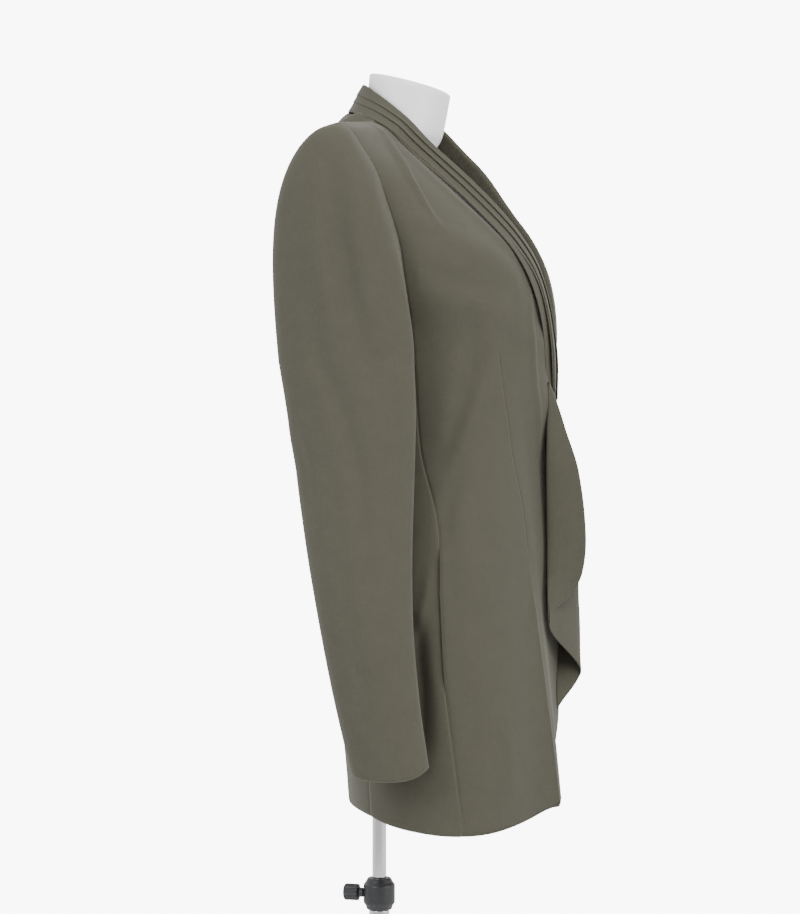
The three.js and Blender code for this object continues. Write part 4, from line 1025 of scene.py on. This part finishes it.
def cascade_face(u, v):
    """Across the cloth u passes the four fold lines a to d, and down it v goes from the top edge to the hem."""
    u, v = np.broadcast_arrays(u, v)
    height = mix(read(CASCADE_EDGES, "share", "top", u), read(CASCADE_EDGES, "share", "hem", u), v)
    fold = np.clip((u * 3).astype(int), 0, 2)
    place = {}
    for axis in "xf":
        line = np.stack([read(CASCADE, "height", f"{letter}_{axis}", height) for letter in "abcd"])
        slope = np.gradient(line, axis=0)
        ends = [np.take_along_axis(rows, k[None], 0)[0] for rows in (line, slope) for k in (fold, fold + 1)]
        place[axis] = cubic(u * 3 - fold, *ends)
    return at_side(RIGHT, place["x"], place["f"], height)


leaves = cascade_face(np.linspace(0, 1, 121)[None, :], np.linspace(0, 1, 141)[:, None])
leaves = cloth_shell(leaves, COLLAR_CLOTH, lined=False)
cloth_piece("cascade_of_front", leaves, "cascade", CASCADE_CUT, "hung", "front_right")

# The room: a pale floor, a white surround that is brighter on the jacket's left, and soft lights, as in a
# small studio.
floor_white, tree, skin = surface_material("studio_floor", (0.86, 0.86, 0.86), 0.7)
grain = noise_at(tree, add(tree, "ShaderNodeTexCoord").outputs["Object"], 6.0, 3.0)
tree.links.new(shaded_by(tree, grain, 0.62, 0.78), skin.inputs["Roughness"])
FLOOR_RADIUS, FLOOR_SIDES = 2.1, 96
turn = np.linspace(0, 2 * np.pi, FLOOR_SIDES, endpoint=False)
rim = [(FLOOR_RADIUS * np.cos(a), FLOOR_RADIUS * np.sin(a), 0) for a in turn]
floor_mesh = bpy.data.meshes.new("floor")
floor_mesh.from_pydata(rim, [], [tuple(range(FLOOR_SIDES))])
floor_mesh.materials.append(floor_white)
floor = bpy.data.objects.new("floor", floor_mesh)
bpy.context.scene.collection.objects.link(floor)

DIM_SIDE, BRIGHT_SIDE, BACKDROP = 0.85, 1.5, 9.0
world = bpy.data.worlds.new("studio")
world.use_nodes = True
tree = world.node_tree
surround = tree.nodes["Background"]
surround.inputs["Color"].default_value = (0.95, 0.975, 1.0, 1)
towards = add(tree, "ShaderNodeSeparateXYZ")
tree.links.new(add(tree, "ShaderNodeTexCoord").outputs["Generated"], towards.inputs["Vector"])
screens = add(tree, "ShaderNodeMapRange", interpolation_type="SMOOTHSTEP", from_min=-0.95, from_max=0.1,
              to_min=DIM_SIDE, to_max=BRIGHT_SIDE)
tree.links.new(towards.outputs["X"], screens.inputs["Value"])
tree.links.new(screens.outputs["Result"], surround.inputs["Strength"])
backdrop = add(tree, "ShaderNodeBackground", strength=BACKDROP, color=(1, 1, 1, 1))
seen = add(tree, "ShaderNodeMixShader")
tree.links.new(add(tree, "ShaderNodeLightPath").outputs["Is Camera Ray"], seen.inputs["Fac"])
tree.links.new(surround.outputs["Background"], seen.inputs[1])
tree.links.new(backdrop.outputs["Background"], seen.inputs[2])
tree.links.new(seen.outputs["Shader"], tree.nodes["World Output"].inputs["Surface"])
bpy.context.scene.world = world


def soft_light(name, place, aim, size, power, tint):
    """A square area light of one side length at a place, turned towards a point."""
    lamp = bpy.data.lights.new(name, "AREA")
    lamp.size, lamp.energy, lamp.color = size, power, tint
    holder = bpy.data.objects.new(name, lamp)
    holder.location = place
    direction = Vector(aim) - Vector(place)
    holder.rotation_euler = direction.to_track_quat("-Z", "Y").to_euler()
    bpy.context.scene.collection.objects.link(holder)


BODY_MIDDLE = (0, -0.06, 1.1)
soft_light("key_from_above", (-1.3, -0.7, 3.0), BODY_MIDDLE, 1.6, 38, (1, 0.985, 0.96))
soft_light("side_light_from_the_front", (-0.9, -2.9, 1.5), BODY_MIDDLE, 1.5, 34, (1, 0.97, 0.93))
soft_light("side_light_from_behind", (-2.7, 1.1, 1.9), BODY_MIDDLE, 1.4, 50, (0.97, 0.985, 1))

# The camera stands level, 2.4 m from the jacket's right side and 14 degrees towards its front. Its focal
# length is given in pixels of a picture 914 pixels high.
AIM = Vector((0, -0.023, 1.080))
DISTANCE, TOWARDS_FRONT = 2.4, np.radians(14)
FOCAL_PIXELS, PICTURE_HEIGHT, SENSOR = 2232.0, 914.0, 36.0
lens = bpy.data.cameras.new("photographer")
lens.sensor_width = SENSOR
lens.lens = FOCAL_PIXELS * SENSOR / PICTURE_HEIGHT
camera = bpy.data.objects.new("photographer", lens)
camera.location = AIM + DISTANCE * Vector((-np.cos(TOWARDS_FRONT), -np.sin(TOWARDS_FRONT), 0))
camera.rotation_euler = (AIM - camera.location).to_track_quat("-Z", "Y").to_euler()
bpy.context.scene.collection.objects.link(camera)
bpy.context.scene.camera = camera
